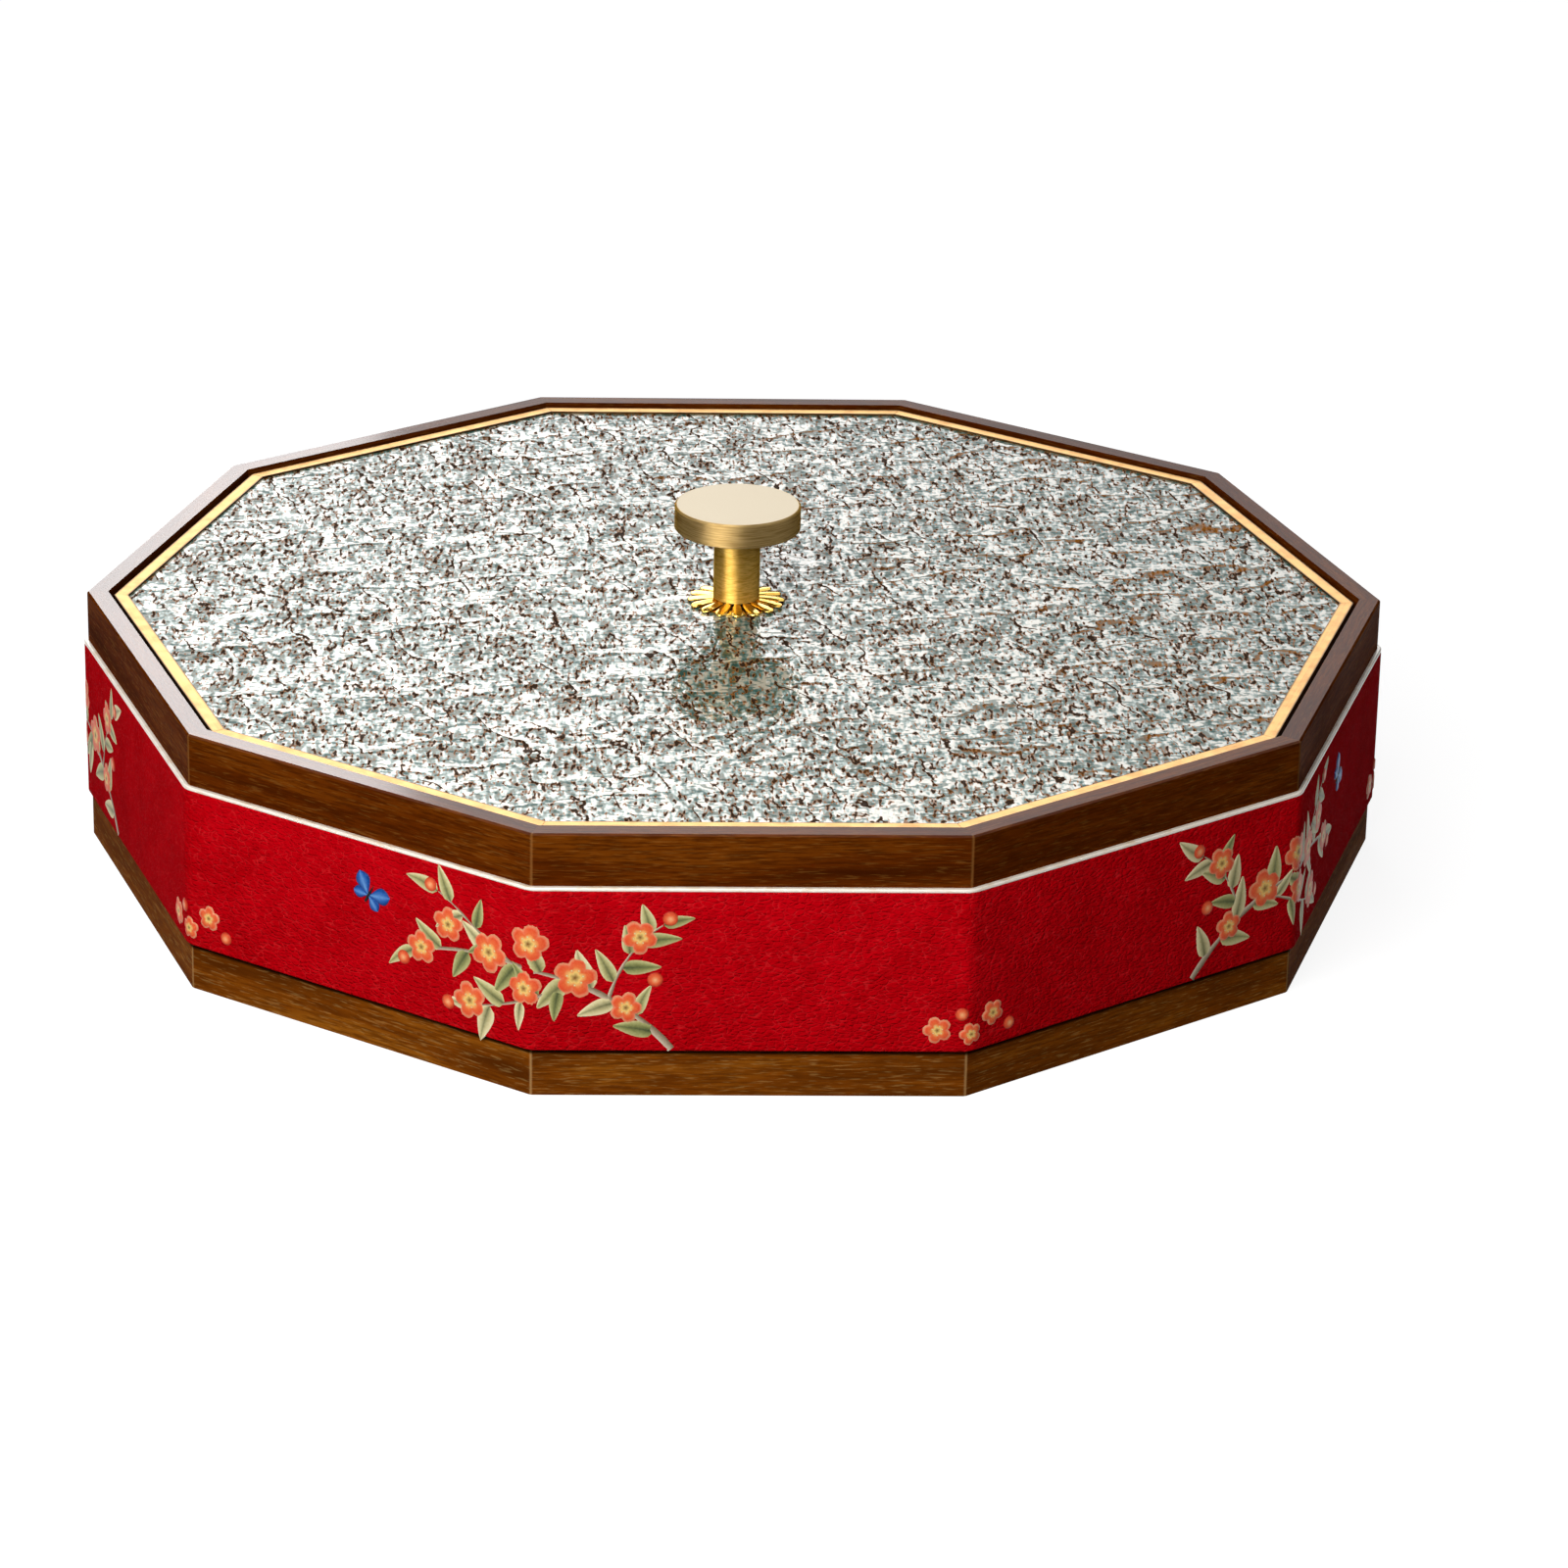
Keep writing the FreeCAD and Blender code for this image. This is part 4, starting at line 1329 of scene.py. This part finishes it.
@dataclass
class GlassLid:
    """The pane with its crinkled face, and the brass channel that edges it."""

    relief: float = 0.15 * MM
    cell: float = 10.5 * MM
    ripple: float = 3.1 * MM
    bore: float = 2.6 * MM
    spokes: int = 800
    rings: int = 112
    edge: float = 3.4 * MM
    under_brass: float = 1.8 * MM
    under_washer: float = 7 * MM
    washer_edge: float = 2 * MM
    push: float = 8 * MM
    push_grain: float = 6 * MM
    ridge: float = 1.1 * MM
    lattice: int = 64
    seed: int = 5

    def soft_noise(self, east: Array, north: Array, grain: float, draw: int) -> Array:
        """Noise of 0 to 1: random numbers on a square lattice, eased from one to the next.

        Args:
            east: X of the points.
            north: Y of the points.
            grain: Distance between the numbers.
            draw: Which of the lid's random draws it is.

        Returns:
            The noise.
        """
        size = self.lattice
        table = np.random.default_rng(self.seed + draw).random((size, size))
        column, row = east / grain, north / grain
        left, low = np.floor(column).astype(int), np.floor(row).astype(int)
        across, up = smooth_step(column - left), smooth_step(row - low)
        corner = [table[(left + i) % size, (low + j) % size] for j in (0, 1) for i in (0, 1)]
        bottom = corner[0] + (corner[1] - corner[0]) * across
        top = corner[2] + (corner[3] - corner[2]) * across
        return bottom + (top - bottom) * up

    def crinkle(self, east: Array, north: Array, draw: int) -> Array:
        """Distance to the border between random cells: the second nearest middle's less the nearest's.

        Args:
            east: X of the points.
            north: Y of the points.
            draw: Which of the lid's random draws it is.

        Returns:
            The distance.
        """
        size = self.lattice
        table = np.random.default_rng(self.seed + draw).random((size, size, 2))
        column, row = np.floor(east / self.cell).astype(int), np.floor(north / self.cell).astype(int)
        distances = []
        for i, j in ((column + right, row + up) for right in (-1, 0, 1) for up in (-1, 0, 1)):
            middle = (spread(i, j) + table[i % size, j % size]) * self.cell
            distances.append(np.hypot(east - middle[..., 0], north - middle[..., 1]))
        nearest = np.sort(np.stack(distances), axis=0)
        return nearest[1] - nearest[0]

    def face(self, east: Array, north: Array) -> Array:
        """Depth of the crinkled face under its highest level.

        Ridges stand where drawn-about cells meet, falling off with the square of the distance, and a
        finer ripple of soft noise lies over them.

        Args:
            east: X of the points.
            north: Y of the points.

        Returns:
            How far each point lies under the top of the pane.
        """
        push = [self.push * (self.soft_noise(east, north, self.push_grain, draw) - 0.5) for draw in (0, 1)]
        border = self.crinkle(east + push[0], north + push[1], 2)
        ridge = np.exp(-((border / self.ridge) ** 2))
        wave = self.soft_noise(east, north, self.ripple, 3)
        fine = self.soft_noise(east, north, self.ripple / 2, 4)
        return self.relief * (1 - 0.55 * ridge - 0.28 * wave - 0.17 * fine)

    def pane(self) -> Piece:
        """Builds the pane as one closed grid, round the bore and from it out to the ten-sided edge.

        A point's radius goes from the bore's to the edge's along its bearing. The edge's radius there is
        the apothem over the cosine of the angle to the middle of its side. The face is flat under the
        brass and under the washer.

        Returns:
            The piece.
        """
        low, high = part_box("glass_panel")
        bearing = np.linspace(0, FULL_TURN, self.spokes, endpoint=False)[:, None]
        off = (bearing - FRONT + HALF_SIDE) % (2 * HALF_SIDE) - HALF_SIDE
        rim = -low.y / np.cos(off)
        share = np.concatenate([np.linspace(0, 1, self.rings), [1.0, 0.5, 0.0]])
        reach = self.bore + (rim - self.bore) * share
        east, north = reach * np.cos(bearing), reach * np.sin(bearing)
        inward = (rim - reach) * np.cos(off)
        shown = smooth_step((inward - self.under_brass) / self.edge)
        shown *= smooth_step((reach - self.under_washer) / self.washer_edge)
        height = high.z - self.face(east, north) * shown
        height[:, self.rings:] = low.z
        faces = quads(*height.shape, loop_rows=True, loop_columns=True)[:, ::-1]
        return Surface(spread(east, north, height).reshape(-1, 3), faces).piece("hammered_pane", Body.LID)

    def build(self) -> None:
        """Builds the pane and dresses it and its edging."""
        clothe(self.pane(), HammeredGlass().make("crinkled_glass"), "glass_panel")
        low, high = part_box("brass_edge_01")
        channel = Brass(inner=-high.y, outer=-low.y)
        for number in range(SIDES):
            material = channel.make(f"brushed_brass_{number + 1:02d}", along_side(number))
            dress(f"brass_edge_{number + 1:02d}", material)


@dataclass
class Knob:
    """The turned knob, its flower washer and what holds it."""

    petals: int = 16
    petal_root: float = 4.6 * MM
    petal_width: float = 3.1 * MM
    disc_radius: float = 9.4 * MM
    disc_thickness: float = 0.3 * MM
    disc_steps: int = 96
    along: int = 14
    around: int = 12
    tip_start: float = 0.72
    polished: Brass = Brass(
        metal=tint(255, 222, 118), shade=tint(236, 172, 56), roughness=0.13, scratch=0.006 * MM
    )
    stem: TurnedBrass = TurnedBrass(metal=tint(240, 200, 108), shade=tint(202, 154, 58))

    def petal(self, bearing: float, low: float, high: float, reach: float) -> Surface:
        """Builds one petal: a flattened tube that swells, droops and closes at its tip.

        Its half width grows with the root of the way out and ends in a round tip. Its back is a ridge
        with a hollow on each side, and it droops with the square of the way out.

        Args:
            bearing: Direction that it points in.
            low: Height of its underside.
            high: Height of its highest point.
            reach: Distance of its tip from the axis.

        Returns:
            The petal.
        """
        way, turn = grid(
            np.linspace(0, 1, self.along), np.linspace(0, FULL_TURN, self.around, endpoint=False)
        )
        eased = np.sin(way * math.pi / 2)
        past = np.clip(eased - self.tip_start, 0, 1) / (1 - self.tip_start)
        tip = np.sqrt(np.clip(1 - past**2, 0.0004, 1))
        half_width = self.petal_width / 2 * (0.52 + 0.48 * eased) * tip
        thick = (high - low) * 0.3 * (0.6 + 0.4 * tip)
        middle = high - thick - (high - low - 2 * thick) * eased**2
        groove = 0.35 * np.cos(3 * turn) * (np.sin(turn) > 0)
        out = self.petal_root + (reach - self.petal_root) * eased
        aside = half_width * np.cos(turn)
        height = np.clip(middle + thick * np.sin(turn) * (1 + groove * np.sin(turn)), low, high)
        east = out * math.cos(bearing) - aside * math.sin(bearing)
        north = out * math.sin(bearing) + aside * math.cos(bearing)
        return Surface(
            points=spread(east, north, height).reshape(-1, 3),
            faces=quads(self.along, self.around, loop_columns=True)[:, ::-1],
            caps=end_caps(self.along, self.around),
        )

    def flower(self) -> Piece:
        """Builds the flower washer: a ring of petals on a thin disc.

        Returns:
            The piece.
        """
        low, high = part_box("petal_washer")
        turns = FULL_TURN * np.arange(self.petals) / self.petals
        parts = [self.petal(turn, low.z, high.z, high.x) for turn in turns]
        turn = np.linspace(0, FULL_TURN, self.disc_steps, endpoint=False)[:, None]
        reach = np.array([self.petal_root, self.disc_radius, self.disc_radius, self.petal_root])
        level = np.array([0.0, 0.0, self.disc_thickness, self.disc_thickness]) + low.z
        disc = spread(reach * np.cos(turn), reach * np.sin(turn), level)
        faces = quads(self.disc_steps, len(level), loop_rows=True, loop_columns=True)
        parts.append(Surface(disc.reshape(-1, 3), faces))
        return Surface.joined(parts).piece("petal_rosette", Body.LID)

    def build(self) -> None:
        """Builds the flower washer and dresses the knob."""
        polish = self.polished.make("polished_petals", 0.0)
        clothe(self.flower(), polish, "petal_washer")
        dress("knob_head", TurnedBrass().make("turned_head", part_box("knob_head")[1].x))
        dress("knob_stem", self.stem.make("turned_stem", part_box("knob_stem")[1].x))
        steel = PlainMetal().make("turned_steel")
        dress("knob_screw", steel)
        dress("clamp_washer", steel)
        dress("soft_washer", Rubber().make("clouded_rubber"))


@dataclass
class Viewpoint:
    """The camera, where the photograph's camera stood."""

    azimuth: float = math.radians(-2.272)
    elevation: float = math.radians(22.393)
    roll: float = math.radians(1.178)
    distance: float = 1318.273 * MM
    aim_height: float = 29 * MM
    shift_right: float = 11.181 * MM
    shift_up: float = -15.24 * MM
    lens: float = 134.69
    sensor: float = 36.0

    def build(self) -> None:
        """Makes the camera and looks through it.

        Its back points away from the object, its right is level but for the roll, and it stands on the
        back's line through a point beside the middle of the box.
        """
        back = Vector((
            math.sin(self.azimuth) * math.cos(self.elevation),
            -math.cos(self.azimuth) * math.cos(self.elevation),
            math.sin(self.elevation),
        ))
        level = Vector((0, 0, 1)).cross(back).normalized()
        upright = back.cross(level)
        right = level * math.cos(self.roll) + upright * math.sin(self.roll)
        up = upright * math.cos(self.roll) - level * math.sin(self.roll)
        aim = Vector((0, 0, self.aim_height)) + right * self.shift_right + up * self.shift_up
        lens = bpy.data.cameras.new("viewpoint")
        lens.lens, lens.sensor_width = self.lens, self.sensor
        camera = linked("viewpoint", lens)
        turned = Matrix((right, up, back)).transposed().to_4x4()
        camera.matrix_world = Matrix.Translation(aim + back * self.distance) @ turned
        bpy.context.scene.camera = camera


@dataclass(frozen=True)
class Softbox:
    """A flat lamp that faces the box."""

    name: str
    bearing: float
    elevation: float
    distance: float
    width: float
    height: float
    radiance: float
    sheen_on: str = ""

    def build(self) -> None:
        """Hangs the lamp: its power is its radiance times its area times pi.

        Where it names pieces, it shows only in their gloss.
        """
        lamp = bpy.data.lights.new(self.name, "AREA")
        lamp.shape = "RECTANGLE"
        lamp.size, lamp.size_y = self.width, self.height
        lamp.energy = self.radiance * self.width * self.height * math.pi
        hung = linked(self.name, lamp)
        turn, rise = math.radians(self.bearing), math.radians(self.elevation)
        way = Vector((math.sin(turn) * math.cos(rise), -math.cos(turn) * math.cos(rise), math.sin(rise)))
        hung.location = way * self.distance
        hung.rotation_euler = way.to_track_quat("Z", "Y").to_euler()
        hung.visible_camera = False
        if self.sheen_on:
            hung.visible_diffuse = False
            lit = bpy.data.collections.new(f"{self.name}_pieces")
            for piece in bpy.data.objects:
                if piece.name.startswith(self.sheen_on):
                    lit.objects.link(piece)
            hung.light_linking.receiver_collection = lit


@dataclass
class Studio:
    """A pale floor, a pale surround and soft lamps, with a shaded wall that only gloss shows."""

    steps: int = 96
    floor_radius: float = 6.0
    floor_colour: Colour = (0.28, 0.28, 0.28, 1.0)
    glow: float = 0.88
    fill: float = 0.11
    wall_radius: float = 2.5
    wall_height: float = 2.5
    flag_depth: float = 0.97
    pane_fade: tuple[float, float] = (4.2, 2.3)
    strip_bearing: float = math.radians(-43)
    strip_gain: float = 25.0
    wall_shades: tuple[Spot, ...] = ((0.0, 0.02), (0.2, 0.05), (0.34, 0.6), (0.5, 0.9), (1.0, 1.0))
    lamps: tuple[Softbox, ...] = (
        Softbox("key_lamp", -23, 35, 0.79, 0.5, 0.68, 5.0),
        Softbox("rim_lamp", -160, 52, 1.5, 1.2, 0.8, 2.2),
        Softbox("wood_lamp", -168.5, 23, 2.4, 0.6, 1.0, 11.5, sheen_on="wall_panel"),
    )

    def staged(self, name: str, points: Array, faces: list[list[int]], material: bpy.types.Material) -> Piece:
        """Puts a mesh in the studio that isn't part of the object.

        Args:
            name: Its name.
            points: Its points.
            faces: Its faces.
            material: Its material.

        Returns:
            The object.
        """
        mesh = bpy.data.meshes.new(name)
        mesh.from_pydata(points.tolist(), [], faces)
        mesh.materials.append(material)
        made = linked(name, mesh)
        return made

    def ring(self, radius: float, height: float) -> Array:
        """Points of a level circle round the object."""
        bearing = np.linspace(0, FULL_TURN, self.steps, endpoint=False)
        return spread(*polar(radius, bearing).T, height)

    def floor(self) -> None:
        """Lays the floor: a diffuse disc that glows a little to the eye, so that only its shadow is grey."""
        mix = Recipe("pale_floor")
        diffuse = mix.add("BsdfDiffuse", {"Color": self.floor_colour})
        glow = mix.add("Emission", {"Color": WHITE, "Strength": self.glow})
        both = mix.add("AddShader", {0: diffuse.outputs[0], 1: glow.outputs[0]})
        switch = mix.add("MixShader", {0: mix.seen(), 1: diffuse.outputs[0], 2: both.outputs[0]})
        rim = self.ring(self.floor_radius, 0.0)
        self.staged("floor", rim, [list(range(self.steps))], mix.closed(switch))

    def wall(self) -> None:
        """Stands the round wall that gloss shows: dark near the floor and paler with height.

        Two dark flags stand at its back on the left and on the right, with a tall pane between them
        that fades from left to right, and a low bright strip stands at its front, to the left.
        """
        mix = Recipe("shaded_wall")
        share = mix.sum("DIVIDE", mix.part(mix.place(), "Z"), self.wall_height)
        right = mix.sum("DIVIDE", mix.part(mix.place(), "X"), self.wall_radius)
        behind = mix.sum("DIVIDE", mix.part(mix.place(), "Y"), self.wall_radius)
        aside = mix.between(mix.sum("ABSOLUTE", right), 0.36, 0.5)
        tone = mix.ramp(share, [(place, (shade, shade, shade, 1.0)) for place, shade in self.wall_shades])
        flag = mix.times(aside, mix.between(behind, -0.1, 0.15))
        flag = mix.times(flag, mix.between(share, 0.3, 0.42, 1.0, 0.0))
        base = mix.times(tone, mix.scaled(flag, -self.flag_depth, 1.0))
        level = mix.sum("SUBTRACT", mix.between(share, 0.14, 0.24), mix.between(share, 0.7, 0.85))
        inner = mix.times(mix.between(behind, 0.5, 0.8), mix.sum("SUBTRACT", 1.0, aside))
        fade = mix.between(right, -0.12, 0.22, *self.pane_fade)
        sideways = mix.times(behind, -math.cos(self.strip_bearing))
        ahead = mix.scaled(right, math.sin(self.strip_bearing), sideways)
        strip = mix.times(mix.between(ahead, 0.94, 0.98), mix.between(share, 0.1, 0.2, 1.0, 0.0))
        shown = mix.sum("MAXIMUM", base, mix.times(mix.times(level, inner), fade))
        shown = mix.sum("MAXIMUM", shown, mix.times(strip, self.strip_gain))
        material = mix.closed(mix.add("Emission", {"Color": WHITE, "Strength": shown}))
        material.cycles.emission_sampling = "NONE"
        rings = [self.ring(self.wall_radius, height) for height in (MM, self.wall_height)]
        faces = quads(2, self.steps, loop_columns=True).tolist()
        wall = self.staged("shaded_wall", np.concatenate(rings), faces, material)
        wall.visible_camera = wall.visible_diffuse = wall.visible_shadow = False

    def surround(self) -> None:
        """Makes the surround: white to the eye and in gloss, and a plain fill for the lighting."""
        mix = Recipe("surround", world=True)
        filled = mix.add("Background", {"Color": WHITE, "Strength": self.fill})
        shown = mix.add("Background", {"Color": WHITE, "Strength": 1.0})
        switch = mix.add("MixShader", {0: mix.seen(), 1: filled.outputs[0], 2: shown.outputs[0]})
        bpy.context.scene.world = mix.closed(switch)

    def build(self) -> None:
        """Sets up the floor, the wall, the surround and the lamps."""
        self.floor()
        self.wall()
        self.surround()
        for lamp in self.lamps:
            lamp.build()
        bpy.context.scene.view_settings.view_transform = "Standard"


def main() -> None:
    """Builds the object and the studio round it."""
    logging.basicConfig(level=logging.INFO, format="%(message)s")
    Viewpoint().build()
    WoodenBox().build()
    band = LeatherBand()
    band.build()
    PrintedSprigs(band).build()
    GlassLid().build()
    Knob().build()
    Studio().build()


if __name__ == "__main__":
    main()
